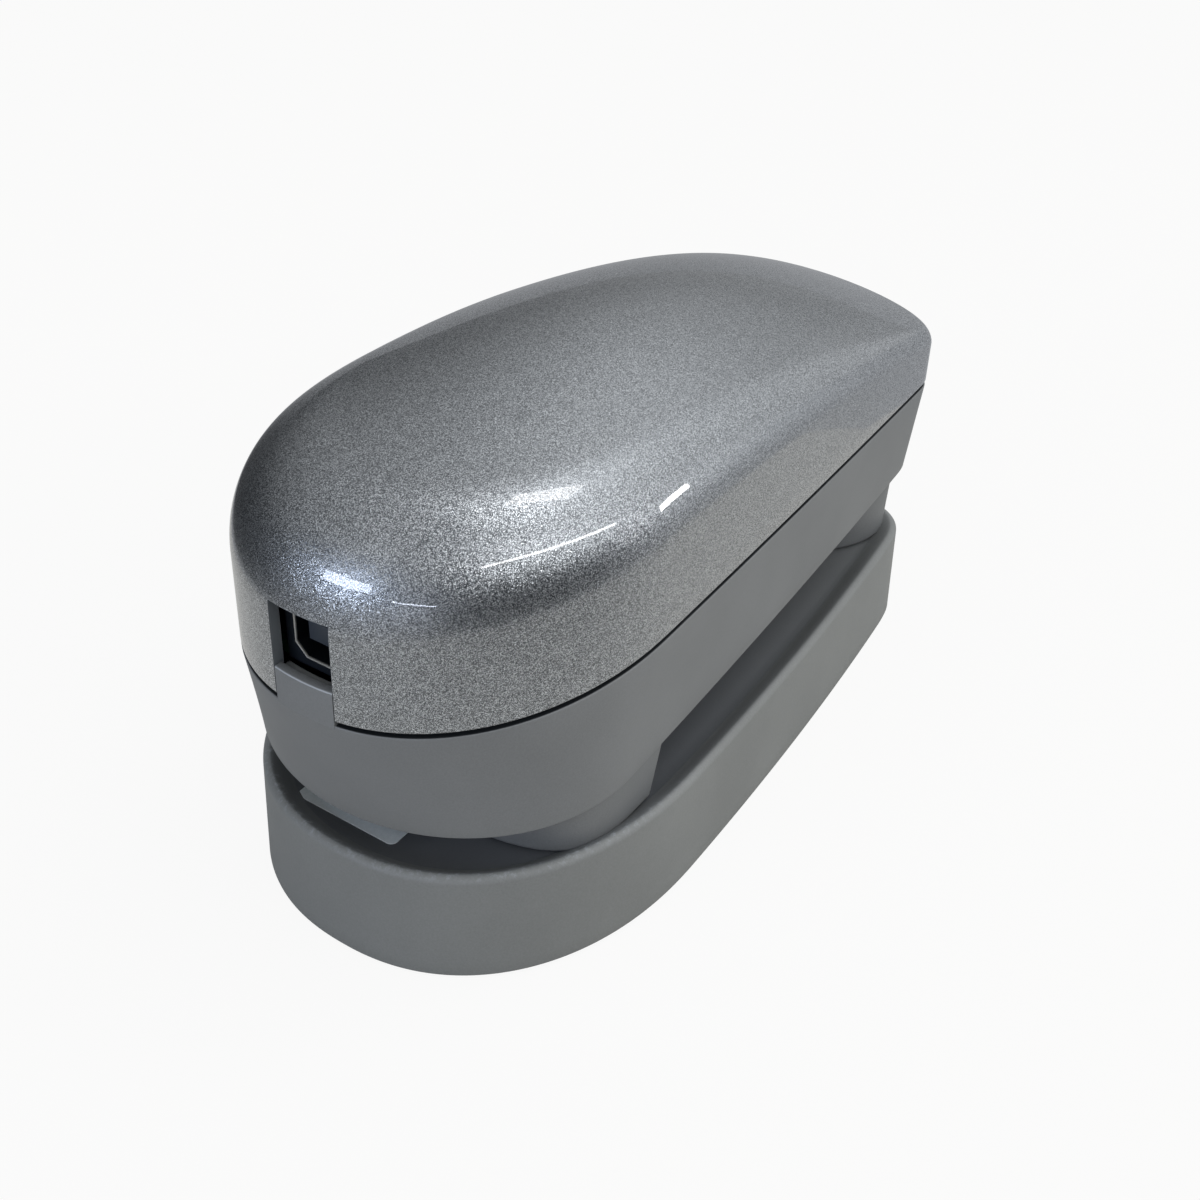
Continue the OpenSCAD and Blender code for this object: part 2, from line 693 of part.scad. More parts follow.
// Tab of the housing below the socket: a slice of the wall carried up into the notch, with a ledge
module socket_tab() {
    low = seam_z(rear_x);
    ledge_drop = 0.9;
    difference() {
        intersection() {
            translate([0, 0, low]) linear_extrude(tab_h) difference() {
                polygon(outline(seam_plan));
                polygon(outline(inset(seam_plan, tab_depth)));
            }
            translate([rear_x - past, -notch_w / 2 + slip, low - past])
                cube([notch_depth, notch_w - 2 * slip, tab_h + 2 * past]);
        }
        translate([rear_x + tab_depth / 2, -notch_w, tab_top_z - ledge_drop])
            cube([notch_depth, 2 * notch_w, ledge_drop + past]);
    }
}

// Bosses and posts that stand on the housing floor or on its button wall
module housing_posts() {
    foot = floor_t / 2;
    for (x = cover_screw_x, s = sides) translate([x, s * cover_screw_y(x), lip_z(x) + foot])
        cylinder(r = boss_r, h = boss_top(x) - lip_z(x) - foot);
    for (x = board_post_x, s = sides) translate([x, s * board_post_y, lip_z(x) + foot])
        cylinder(r = boss_r, h = board_z - lip_z(x) - foot);
    for (x = optics_screw_x, s = sides) translate([x, s * optics_screw_y, lip_z(x) + foot])
        cylinder(r = boss_r, h = optics_z - lip_z(x) - foot);
    for (s = sides) let (x = button_x + s * switch_post_off, y = switch_board_y)
        translate([x, y, button_z]) rotate([-90, 0, 0])
            cylinder(r = switch_post_r, h = wall_y(x, button_z) - housing_t / 2 - y);
}

// Band below the seam: drafted shell with a floor, a tongue for the cover and a sharp lower lip
module lower_housing() {
    tongue_in = housing_t - tongue_t;
    hole_depth = button_face_y - flange_out_y + past;
    band = ruled(on_lip(lip_plan, 0), on_seam(seam_plan, 0), band_steps);
    rings = concat(band, [on_seam(inset(seam_plan, tongue_in), 0),
        on_seam(inset(seam_plan, tongue_in), tongue_h), on_seam(inset(seam_plan, housing_t), tongue_h),
        on_lip(inset(lip_plan, housing_t), floor_t)]);
    color(grey_plastic) difference() {
        union() {
            loft(rings);
            socket_tab();
            housing_posts();
        }
        at_cover_screws() {
            translate([0, 0, foot_z]) cylinder(r = shank_r, h = seam_h + tongue_h + cover_boss_up);
        }
        for (x = cover_screw_x, s = sides) translate([x, s * cover_screw_y(x), foot_z])
            cylinder(r = head_r + slip, h = boss_top(x) - head_seat_t - foot_z);
        for (x = board_post_x, s = sides) translate([x, s * board_post_y, board_z - cover_thread])
            cylinder(r = thread_r, h = cover_thread + past);
        for (x = optics_screw_x, s = sides) translate([x, s * optics_screw_y, lip_z(x) + floor_t / 2])
            cylinder(r = thread_r, h = optics_z - lip_z(x));
        at_switch_posts() translate([0, 0, switch_board_y - past])
            cylinder(r = thread_r, h = past + switch_thread + screw_end);
        translate([axis_x, 0, foot_z]) cylinder(r = bore_r, h = seam_h);
        at_button() translate([0, 0, flange_out_y])
            round_bar(button_l + 2 * button_gap, button_h + 2 * button_gap, hole_depth);
    }
}

// Rear foot: wide block under the lip with a flat rear, rounded corners and a leaning front face
rear_foot_x = rear_x + rear_foot_in;
rear_foot_round = 0.85 * rear_foot_l;
rear_foot_power = 3.5;
foot_corner = 1.5;
foot_corner_power = 8;
rear_foot_plan = [rear_foot_x, rear_foot_x + rear_foot_l, rear_foot_w, rear_foot_round, rear_foot_power, 0,
    foot_corner, foot_corner_power];
foot_edge = 0.8;
function foot_top(p, lean) = [for (o = outline(p))
    let (x = o.x + lean * smooth((o.x - p[REAR]) / (p[FRONT] - p[REAR]))) [x, o.y, lip_z(x)]];
glide_x = rear_foot_x + 0.55 * rear_foot_l;
module at_glides() {
    for (s = sides) translate([glide_x, s * glide_pitch / 2, foot_z]) rotate([0, 0, 90]) children();
}
module rear_foot() {
    low = foot_z + glide_out;
    color(grey_plastic) difference() {
        loft([level(inset(rear_foot_plan, foot_edge), low), level(rear_foot_plan, low + foot_edge),
            foot_top(rear_foot_plan, rear_foot_lean)]);
        at_glides() translate([0, 0, -past])
            round_bar(glide_l + 2 * slip, glide_w + 2 * slip, glide_t + past);
    }
}

module rear_glides() {
    color("#e6e6e2") at_glides() round_bar(glide_l, glide_w, glide_t);
}

// Measuring head: rounded front foot with a stepped bore for the window and the ring mirror
head_front_x = front_x - head_in;
head_round = 0.8 * head_l;
head_nose = 0.18 * head_l;
head_nose_power = 2.6;
head_plan = [head_front_x - head_l, head_front_x, head_w, head_round, 2, side_taper / 2, head_nose,
    head_nose_power];
module measuring_head() {
    low = foot_z + glide_out;
    color(grey_plastic) difference() {
        loft([level(inset(head_plan, foot_edge), low), level(head_plan, low + foot_edge),
            foot_top(head_plan, head_lean)]);
        translate([axis_x, 0, 0]) {
            translate([0, 0, foot_z - past])
                cylinder(d = aperture_plate_d + 2 * slip, h = past + aperture_plate_t);
            translate([0, 0, foot_z]) cylinder(d = window_d + 2 * slip, h = window_top_z - foot_z);
            translate([0, 0, foot_z]) cylinder(d = window_d - 2 * ledge_w, h = seam_h);
            translate([0, 0, mirror_low_z]) cylinder(r = bore_r, h = seam_h);
        }
    }
}

module aperture_plate() {
    color(black_plastic) translate([axis_x, 0, foot_z]) difference() {
        cylinder(d = aperture_plate_d, h = aperture_plate_t);
        translate([0, 0, -past]) cylinder(d = aperture_d, h = aperture_plate_t + 2 * past);
    }
}

module head_window() {
    color(glass_tint, 0.5) translate([axis_x, 0, window_low_z]) cylinder(d = window_d, h = window_t);
}

// Ring whose inner cone throws the lamp's light down at 45 degrees
module ring_mirror() {
    mirror_edge = 0.8;
    low_r = mirror_d / 2 - mirror_edge;
    color(steel) translate([axis_x, 0, mirror_low_z]) rotate_extrude()
        polygon([[mirror_d / 2, 0], [mirror_d / 2, mirror_h], [mirror_top_d / 2, mirror_h], [low_r, 0]]);
}

// Pick-up tube, hung by its flange from the optics block, with a shoulder for the lens
barrel_low_z = optics_z - barrel_l;
barrel_flange_t = 1.5;
lens_set_back = 0.5;
lens_shoulder = 0.7;
lens_z = barrel_low_z + lens_t / 2 + lens_set_back;
module lens_barrel() {
    shoulder_r = lens_d / 2 - lens_shoulder;
    color(black_plastic) translate([axis_x, 0, 0]) difference() {
        union() {
            translate([0, 0, barrel_low_z]) cylinder(d = barrel_d, h = nose_plate_top - barrel_low_z);
            translate([0, 0, nose_plate_top]) cylinder(d = barrel_flange_d, h = barrel_flange_t);
        }
        translate([0, 0, barrel_low_z - past])
            cylinder(d = lens_d + 2 * slip, h = past + lens_set_back + lens_t);
        translate([0, 0, barrel_low_z - past])
            cylinder(r = shoulder_r, h = nose_plate_top - barrel_low_z + barrel_flange_t + 2 * past);
    }
}

// Lens bounded by two equal spheres, with a straight edge
module objective_lens() {
    edge_t = 0.45 * lens_t;
    sag = (lens_t - edge_t) / 2;
    ball_r = (pow(lens_d / 2, 2) + sag * sag) / (2 * sag);
    color(glass_tint, 0.5) translate([axis_x, 0, lens_z]) rotate_extrude() intersection() {
        translate([0, lens_t / 2 - ball_r]) circle(ball_r, $fn = 180);
        translate([0, ball_r - lens_t / 2]) circle(ball_r, $fn = 180);
        translate([0, -lens_t / 2]) square([lens_d / 2, lens_t]);
    }
}

// Lamp: glass bulb below the plate, holder on top of it
lamp_space = 0.6;
lamp_step = 0.5;
lamp_low_z = mirror_low_z + mirror_h + lamp_space;
lamp_neck_d = lamp_holder_d - 2 * lamp_step;
module lamp_bulb() {
    color(glass_tint, 0.6) translate([axis_x, lamp_off, lamp_low_z]) rotate_extrude() union() {
        translate([0, lamp_d / 2]) square([lamp_d / 2, optics_z - lamp_low_z - lamp_d / 2]);
        intersection() {
            translate([0, lamp_d / 2]) circle(d = lamp_d);
            square([lamp_d / 2, lamp_d / 2]);
        }
    }
}

module lamp_holder() {
    color("#d8d3c4") translate([axis_x, lamp_off, optics_z]) {
        cylinder(d = lamp_neck_d, h = nose_plate_t);
        translate([0, 0, nose_plate_t]) cylinder(d = lamp_holder_d, h = lamp_holder_d);
    }
}

// Spectrometer housing: open box, and a plate over the head with the seat of the fold mirror
fold_half = fold_l / 2 * sin(45);
fold_back = fold_t * sin(45);
seat_space = 0.5;
seat_wall_x = axis_x + max(fold_half + fold_back, barrel_flange_d / 2) + seat_space;
seat_wall_t = 2.5;
nose_plate_front = seat_wall_x + seat_wall_t;
nose_plate_rim = 1;
nose_plate_side = lamp_off + lamp_holder_d / 2 + nose_plate_rim;
module mirror_seat() {
    low_x = axis_x + fold_back;
    low_z = light_z + fold_back;
    translate([0, fold_w / 2, 0]) rotate([90, 0, 0]) linear_extrude(fold_w)
        polygon([[low_x - fold_half, low_z + fold_half], [low_x + fold_half, low_z - fold_half],
            [seat_wall_x + seat_wall_t / 2, low_z - fold_half],
            [seat_wall_x + seat_wall_t / 2, low_z + fold_half]]);
    translate([seat_wall_x, -fold_w / 2, optics_z])
        cube([seat_wall_t, fold_w, low_z + fold_half - optics_z]);
}
module optics_block() {
    light_port_d = 4;
    room_l = optics_l - 2 * optics_t;
    room_w = optics_w - 2 * optics_t;
    color("#2b2e33") difference() {
        union() {
            translate([optics_rear_x, -optics_w / 2, optics_z]) cube([optics_l, optics_w, optics_h]);
            translate([optics_front_x - optics_t / 2, -nose_plate_side, optics_z])
                cube([nose_plate_front - optics_front_x + optics_t / 2, 2 * nose_plate_side, nose_plate_t]);
            mirror_seat();
        }
        translate([optics_rear_x + optics_t, -room_w / 2, optics_z + optics_floor_t])
            cube([room_l, room_w, optics_h]);
        translate([optics_front_x - optics_t - past, 0, light_z]) rotate([0, 90, 0])
            cylinder(d = light_port_d, h = optics_t + 2 * past);
        translate([optics_front_x - optics_t - past, detector_off - detector_l / 2 - slip,
            light_z - detector_w / 2 - slip])
            cube([optics_t + 2 * past, detector_l + 2 * slip, detector_w + 2 * slip]);
        translate([axis_x, 0, optics_z - past])
            cylinder(d = barrel_d + 2 * slip, h = nose_plate_t + 2 * past);
        translate([axis_x, lamp_off, optics_z - past])
            cylinder(d = lamp_neck_d + 2 * slip, h = nose_plate_t + 2 * past);
        at_optics_screws() translate([0, 0, optics_z - past])
            cylinder(r = shank_r, h = optics_floor_t + 2 * past);
    }
}

lid_t = 1.5;
module optics_lid() {
    color("#3a3e44") translate([optics_rear_x, -optics_w / 2, optics_top_z])
        cube([optics_l, optics_w, lid_t]);
}

module fold_mirror() {
    color(steel) translate([0, fold_w / 2, 0]) rotate([90, 0, 0]) linear_extrude(fold_w)
        polygon([[axis_x - fold_half, light_z + fold_half], [axis_x + fold_half, light_z - fold_half],
            [axis_x + fold_half + fold_back, light_z - fold_half + fold_back],
            [axis_x - fold_half + fold_back, light_z + fold_half + fold_back]]);
}

slit_t = 0.4;
module slit_plate() {
    slit_l = 2.5;
    slit_w = 0.3;
    plate = 5;
    color(steel) translate([optics_front_x, 0, light_z]) difference() {
        translate([0, -plate / 2, -plate / 2]) cube([slit_t, plate, plate]);
        translate([-past, -slit_w / 2, -slit_l / 2]) cube([slit_t + 2 * past, slit_w, slit_l]);
    }
}

// Concave grating against the rear wall of the optics block
module grating() {
    hollow = 0.8;
    ball_r = (pow(grating_d / 2, 2) + hollow * hollow) / (2 * hollow);
    color(glass_tint) translate([optics_rear_x + optics_t, 0, light_z]) rotate([0, 90, 0]) rotate_extrude()
        difference() {
            square([grating_d / 2, grating_t]);
            translate([0, grating_t - hollow + ball_r]) circle(ball_r, $fn = 180);
        }
}

module detector_array() {
    color("#22252a") translate([optics_front_x - optics_t, detector_off - detector_l / 2,
        light_z - detector_w / 2]) cube([optics_t, detector_l, detector_w]);
}

detector_rim = 2;
detector_board_low = 4;
detector_board_w = detector_l + 2 * detector_rim;
detector_board_h = optics_h - light_h + detector_board_low;
module detector_board() {
    color(board_green)
        translate([optics_front_x, detector_off - detector_board_w / 2, light_z - detector_board_low])
            cube([board_t, detector_board_w, detector_board_h]);
}

// Ribbon from the main board's connector over the lid and down the detector board
flex_t = 0.3;
flex_w = 8;
plug_space = 2;
plug_part_x = board_front_x - board_edge - head_r - plug_space;
plug_part_l = 6;
plug_part_h = 4;
plug_part_rim = 1;
chip_w = 12;
chip_t = 1.4;
module flex_cable() {
    top_z = optics_top_z + lid_t;
    low_x = plug_part_x - plug_part_l / 2;
    plug_top = board_z + board_t + plug_part_h;
    end_x = optics_front_x + board_t;
    end_z = light_z;
    color("#b98a3a") translate([0, detector_off + flex_w / 2, 0]) rotate([90, 0, 0]) linear_extrude(flex_w)
        polygon([[low_x, plug_top], [board_front_x, plug_top], [optics_rear_x, top_z], [end_x, top_z],
            [end_x, end_z], [end_x + flex_t, end_z], [end_x + flex_t, top_z + flex_t],
            [optics_rear_x - flex_t, top_z + flex_t], [board_front_x - flex_t, plug_top + flex_t],
            [low_x, plug_top + flex_t]]);
}

// Main board with a narrow tail that carries the socket
module main_board() {
    tail_x = board_rear_x + board_tail_l;
    color(board_green) difference() {
        translate([0, 0, board_z]) union() {
            translate([board_rear_x, -board_tail_w / 2, 0])
                cube([board_tail_l + past, board_tail_w, board_t]);
            translate([tail_x, -board_w / 2, 0]) cube([board_front_x - tail_x, board_w, board_t]);
        }
        at_board_posts() translate([0, 0, board_z - past]) cylinder(r = shank_r, h = board_t + 2 * past);
    }
}

// Processor, memory, regulator and ribbon connector
module board_parts() {
    top = board_z + board_t;
    processor = [chip_w, chip_w, chip_t];
    memory = [0.75 * chip_w, chip_w / 2, chip_t];
    regulator = [chip_w / 2, chip_w / 2, chip_t];
    middle_x = (board_rear_x + board_tail_l + plug_part_x) / 2;
    color("#202327") {
        translate([middle_x, -chip_w, top]) cube(processor);
        translate([middle_x - chip_w, chip_w / 4, top]) cube(memory);
        translate([middle_x - chip_w, -chip_w, top]) cube(regulator);
        translate([plug_part_x - plug_part_l, detector_off - flex_w / 2 - plug_part_rim, top])
            cube([plug_part_l, flex_w + 2 * plug_part_rim, plug_part_h]);
    }
}

// Plug opening seen from the rear: square on top, two bevelled corners below
module plug_outline(grow) {
    w = plug_w / 2 + grow;
    h = plug_h / 2 + grow;
    b = plug_bevel + grow * tan(22.5);
    polygon([[-w, h], [-w, -h + b], [-w + b, -h], [w - b, -h], [w, -h + b], [w, h]]);
}
module along_socket(depth) {
    translate([usb_mouth_x, 0, plug_z]) rotate([90, 0, 90]) linear_extrude(depth) children();
}
module usb_body() {
    color(black_plastic) difference() {
        translate([usb_mouth_x, -usb_w / 2, usb_bottom_z]) cube([usb_l, usb_w, usb_block_h]);
        translate([-past, 0, 0]) along_socket(plug_depth + past) plug_outline(liner_t);
    }
}
module usb_liner() {
    color(steel) along_socket(plug_depth) difference() {
        plug_outline(liner_t);
        plug_outline(0);
    }
}
tongue_set_back = 1.2;
module usb_tongue() {
    color("#2c333c") translate([usb_mouth_x + tongue_set_back, -tongue_w / 2, plug_z - tongue_blade_t / 2])
        cube([plug_depth - tongue_set_back, tongue_w, tongue_blade_t]);
}
module usb_contacts() {
    contact = [6.5, 1, 0.25];
    color(brass_gold) for (y = sides, z = sides)
        translate([usb_mouth_x + plug_depth - contact.x, y * tongue_w / 4 - contact.y / 2,
            plug_z + z * tongue_blade_t / 2 - (z > 0 ? 0 : contact.z)]) cube(contact);
}

module housing_screws() {
    color(steel) for (x = cover_screw_x, s = sides)
        translate([x, s * cover_screw_y(x), boss_top(x) - head_seat_t])
            screw(head_seat_t + cover_thread - screw_end);
}

module board_screws() {
    color(steel) at_board_posts() translate([0, 0, board_z + board_t]) mirror([0, 0, 1])
        screw(board_t + cover_thread - screw_end);
}

module optics_screws() {
    color(steel) at_optics_screws() translate([0, 0, optics_z + optics_floor_t]) mirror([0, 0, 1])
        screw(optics_floor_t + optics_lift);
}

// Board behind the button, carried by two posts from the side wall
module switch_board() {
    color(board_green) difference() {
        translate([button_x - switch_board_l / 2, switch_board_y - board_t, button_z - switch_board_h / 2])
            cube([switch_board_l, board_t, switch_board_h]);
        at_switch_posts() translate([0, 0, switch_board_y - board_t - past])
            cylinder(r = shank_r, h = board_t + 2 * past);
    }
}

module tact_switch() {
    color("#30343a") at_button() translate([0, 0, switch_board_y]) {
        translate([-switch_w / 2, -switch_w / 2, 0]) cube([switch_w, switch_w, switch_body_h]);
        translate([0, 0, switch_body_h]) cylinder(d = switch_w / 2, h = plunger_h);
    }
}

module switch_screws() {
    color(steel) at_switch_posts() translate([0, 0, switch_board_y - board_t])
        screw(board_t + switch_thread);
}

// Compression spring round the switch: one wire wound in a helix between the board and the flange
spring_sides = 6;
spring_steps = 10;
function spring_at(t) = let (a = 360 * t * spring_turns, r = spring_d / 2,
    room = switch_space - spring_wire - 2 * seat_gap)
    [r * cos(a), r * sin(a), spring_wire / 2 + seat_gap + room * t];
module button_spring() {
    n = spring_turns * spring_steps;
    rings = [for (i = [0:n]) let (c = spring_at(i / n), a = 360 * spring_turns * i / n)
        [for (k = [0:spring_sides - 1]) let (b = 360 * k / spring_sides, w = spring_wire / 2)
            c + [w * cos(b) * cos(a), w * cos(b) * sin(a), w * sin(b)]]];
    points = [for (r = rings) each r];
    walls = [for (i = [0:n - 1], k = [0:spring_sides - 1]) let (j = (k + 1) % spring_sides,
        p = i * spring_sides, q = p + spring_sides) each [[p + k, p + j, q + j], [p + k, q + j, q + k]]];
    start = [for (k = [1:spring_sides - 2]) [0, k + 1, k]];
    end = [for (k = [1:spring_sides - 2]) let (e = n * spring_sides) [e, e + k, e + k + 1]];
    color(steel) at_button() translate([0, 0, switch_board_y])
        polyhedron(points, concat(walls, start, end));
}

// Thumb button: a bar with round ends, a flange behind the wall and a stem towards the switch
module measure_button() {
    stem_d = 4;
    stem_end_y = switch_board_y + switch_body_h + plunger_h + button_travel + seat_gap;
    crown = 0.5;
    sink = 0.1;
    color("#5d6267") at_button() {
        translate([0, 0, flange_in_y])
            round_bar(button_l + 2 * button_rim, button_h + 2 * button_rim, button_rim_t);
        translate([0, 0, flange_out_y - sink])
            round_bar(button_l, button_h, button_face_y - crown - flange_out_y + sink);
        translate([0, 0, button_face_y - crown - sink])
            round_bar(button_l - 2 * crown, button_h - 2 * crown, crown + sink);
        translate([0, 0, stem_end_y]) cylinder(d = stem_d, h = flange_in_y - stem_end_y + sink);
    }
}

base_shell();
base_plate();
base_feet();
base_screws();
white_tile();
tile_ring();
top_cover();
lower_housing();
rear_foot();
rear_glides();
measuring_head();
aperture_plate();
head_window();
ring_mirror();
lens_barrel();
objective_lens();
lamp_bulb();
lamp_holder();
fold_mirror();
optics_block();
optics_lid();
slit_plate();
grating();
detector_array();
detector_board();
flex_cable();
main_board();
board_parts();
usb_body();
usb_liner();
usb_tongue();
usb_contacts();
housing_screws();
board_screws();
optics_screws();
switch_board();
tact_switch();
switch_screws();
button_spring();
measure_button();
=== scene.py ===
"""Looks of the handheld spectrophotometer on its calibration base.

Sizes are worked out in millimetres and put into the meshes in metres. X runs along the instrument with the
measuring end at +X, the socket is at -X, the thumb button is on the +Y side and the base stands on Z = 0.
"""
import math
from collections import namedtuple

import bmesh
import bpy
import numpy as np
from mathutils import Matrix, Vector


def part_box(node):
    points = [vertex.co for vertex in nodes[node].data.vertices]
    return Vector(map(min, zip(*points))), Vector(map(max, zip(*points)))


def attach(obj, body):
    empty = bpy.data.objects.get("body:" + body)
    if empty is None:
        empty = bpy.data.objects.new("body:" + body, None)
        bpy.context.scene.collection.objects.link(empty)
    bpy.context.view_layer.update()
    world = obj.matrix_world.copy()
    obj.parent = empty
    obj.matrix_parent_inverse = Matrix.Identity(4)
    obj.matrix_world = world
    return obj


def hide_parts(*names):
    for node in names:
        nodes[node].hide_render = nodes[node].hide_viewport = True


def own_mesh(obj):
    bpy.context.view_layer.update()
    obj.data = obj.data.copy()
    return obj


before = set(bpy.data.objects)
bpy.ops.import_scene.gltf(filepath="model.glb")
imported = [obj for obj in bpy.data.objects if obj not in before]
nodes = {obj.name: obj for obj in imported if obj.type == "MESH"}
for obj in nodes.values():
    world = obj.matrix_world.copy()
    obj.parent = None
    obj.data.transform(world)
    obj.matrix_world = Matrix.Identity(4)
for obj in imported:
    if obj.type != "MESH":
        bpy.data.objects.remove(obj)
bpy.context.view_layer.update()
MM = 0.001

# Heights and outlines that the solids share
FOOT_Z = 18.3
BASE_H = 20.7
BODY_L = 151.0
SEAM_UP, SEAM_CLIMB = 32.7, 3.4
LIP_UP, LIP_CLIMB = 12.9, 7.5
REAR_X = -BODY_L / 2
FRONT_X = BODY_L / 2
SEAM_GAP = 0.8
COVER_T = 2.0
HOUSING_T = 2.2
NOTCH_HALF = 5.5
NOTCH_TOP = 66.3
TAB_TOP, TAB_WITHIN = 55.1, NOTCH_HALF - 0.1
AXIS_X = 57.0

Plan = namedtuple("Plan", "rear front width round power taper nose nose_power")
SEAM = Plan(-75.5, 75.5, 66.0, 44.3, 2.16, 1.2, 11.0, 3.5)
LIP = Plan(-70.5, 73.0, 66.4, 29.7, 2.02, 2.6, 11.0, 3.5)
RIM = Plan(-71.8, 74.7, 73.6, 47.0, 2.23, 5.4, 20.0, 4.0)
REAR_FOOT = Plan(-55.5, -31.5, 64.0, 20.4, 3.5, 0.0, 1.5, 8.0)
HEAD = Plan(42.5, 70.0, 56.5, 22.0, 2.0, 0.6, 4.95, 2.6)


def mix(a, b, t):
    """The value a share t of the way from a to b."""
    return a + (b - a) * t


def seam_z(x):
    """Height of the seam: it climbs evenly along the length."""
    return FOOT_Z + SEAM_UP + SEAM_CLIMB * x / BODY_L


def lip_z(x):
    """Height of the lower lip: it climbs evenly along the length."""
    return FOOT_Z + LIP_UP + LIP_CLIMB * x / BODY_L


def inset(p, d):
    """The plan drawn d further in: both ends and both sides move in, and the rounded ends shrink."""
    return Plan(p.rear + d, p.front - d, p.width - 2 * d, p.round - d, p.power, p.taper,
                max(p.nose - d, 1.0), p.nose_power)


def side_y(p, x):
    """Half width: half the width less the taper times the squared share of the way along the side."""
    start = p.rear + p.round
    return p.width / 2 - p.taper * (np.maximum(x - start, 0) / (p.front - start)) ** 2


# Shares along the three stretches of an outline; one column falls on the edge of the socket notch
NOTCH_COLUMNS = 10
REAR_COUNT, SIDE_COUNT, NOSE_COUNT = 96, 72, 49
NOTCH_ANGLE = math.asin((2 * NOTCH_HALF / SEAM.width) ** (SEAM.power / 2))
REAR_ANGLES = np.concatenate([np.linspace(0, NOTCH_ANGLE, NOTCH_COLUMNS + 1),
                              np.linspace(NOTCH_ANGLE, math.pi / 2, REAR_COUNT)[1:]])
SIDE_SHARES = np.linspace(0, 1, SIDE_COUNT)[1:]
NOSE_ANGLES = np.linspace(0, math.pi / 2, NOSE_COUNT)[1:]
# Steps round a small rounded edge
EDGE_ANGLES = np.radians([0, 22, 45, 67, 90])

NO_AREA = 1e-7  # square millimetres
MERGE_DIST = 2e-6  # metres
SHARP = 38.0  # degrees


def outline(p):
    """Closed ring of plan points, from the rear along the -Y side to the front and back along +Y.
    The rear is a quarter superellipse, the side narrows with the square of the way along it, and the
    nose is a squarer quarter superellipse on that side."""
    c, s = np.maximum(np.cos(REAR_ANGLES), 0), np.sin(REAR_ANGLES)
    rear = np.stack([p.rear + p.round * (1 - c ** (2 / p.power)), p.width / 2 * s ** (2 / p.power)], 1)
    x = mix(p.rear + p.round, p.front - p.nose, SIDE_SHARES)
    side = np.stack([x, side_y(p, x)], 1)
    c, s = np.maximum(np.cos(NOSE_ANGLES), 0), np.sin(NOSE_ANGLES)
    x = p.front - p.nose * (1 - s ** (2 / p.nose_power))
    nose = np.stack([x, side_y(p, x) * c ** (2 / p.nose_power)], 1)
    half = np.concatenate([rear, side, nose])
    return np.concatenate([half * [1, -1], half[-2:0:-1]])


def at_height(xy, z):
    """Plan points lifted to a height, which is one number or one for each point."""
    return np.concatenate([xy, np.broadcast_to(z, xy.shape[:1])[:, None]], 1)


def level(p, z):
    """The outline of a plan at one height."""
    return at_height(outline(p), z)


def ruled(low, high, count):
    """Rows on the straight lines between two rows of points, both ends included."""
    return [mix(low, high, k) for k in np.linspace(0, 1, count)]


def patch(rows, closed=True):
    """Points and faces of a grid: rows follow each other, and closed joins the last column to the first."""
    points = np.stack(rows)
    index = np.arange(points.shape[0] * points.shape[1]).reshape(points.shape[:2])
    left = index if closed else index[:, :-1]
    right = np.roll(index, -1, axis=1) if closed else index[:, 1:]
    faces = np.stack([left[:-1], right[:-1], right[1:], left[1:]], -1).reshape(-1, 4)
    return points.reshape(-1, 3), faces


def put(name, data):
    """A new object with this data in the scene."""
    made = bpy.data.objects.new(name, data)
    bpy.context.scene.collection.objects.link(made)
    return made


def piece(name, patches, body, finish, replaced=(), outward=True):
    """Joins patches into one mesh in metres: faces of no area go, shared points merge, the faces of a closed
    form are turned outwards by the sign of its volume, and edges sharper than an angle stay crisp."""
    points, faces, first = [], [], 0
    for p, f in patches:
        points.append(p)
        faces.append(f + first)
        first += len(p)
    points, faces = np.concatenate(points), np.concatenate(faces)
    a, b, c, d = (points[faces[:, k]] for k in range(4))
    cross = np.cross(c - a, d - b)
    faces = faces[np.linalg.norm(cross, axis=1) > NO_AREA]
    a, b, c, d = (points[faces[:, k]] for k in range(4))
    volume = np.sum(a * (np.cross(b, c) + np.cross(c, d)))
    if outward and volume < 0:
        faces = faces[:, ::-1]
    mesh = bpy.data.meshes.new(name)
    mesh.from_pydata((points * MM).tolist(), [], faces.tolist())
    form = bmesh.new()
    form.from_mesh(mesh)
    bmesh.ops.remove_doubles(form, verts=form.verts, dist=MERGE_DIST)
    form.to_mesh(mesh)
    form.free()
    mesh.polygons.foreach_set("use_smooth", np.ones(len(mesh.polygons), bool))
    mesh.set_sharp_from_angle(angle=math.radians(SHARP))
    mesh.materials.append(finish)
    made = put(name, mesh)
    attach(made, body)
    if replaced:
        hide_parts(*replaced)
    return made


# Finishes

def linear(colour):
    """An sRGB hex colour as linear light with full cover."""
    parts = [int(colour[k:k + 2], 16) / 255 for k in (1, 3, 5)]
    return tuple(p / 12.92 if p <= 0.04045 else ((p + 0.055) / 1.055) ** 2.4 for p in parts) + (1.0,)


def add(tree, kind, inputs=None, **settings):
    """Adds a node of a kind: settings go on it, and each input is linked to the socket or to the first output of the
    node that is given for it, or set."""
    made = tree.nodes.new("ShaderNode" + kind)
    for key, value in settings.items():
        setattr(made, key, value)
    for key, value in (inputs or {}).items():
        if isinstance(value, bpy.types.Node):
            value = value.outputs[0]
        if isinstance(value, bpy.types.NodeSocket):
            tree.links.new(value, made.inputs[key])
        else:
            made.inputs[key].default_value = value
    return made


def per_metre(size_mm):
    """Pattern scale for a feature of a real size."""
    return 1 / (size_mm * MM)


def new_finish(name):
    """A node material, its tree and the Object coordinates in it."""
    made = bpy.data.materials.new(name)
    made.use_nodes = True
    made.node_tree.nodes.clear()
    return made, made.node_tree, add(made.node_tree, "TexCoord").outputs["Object"]


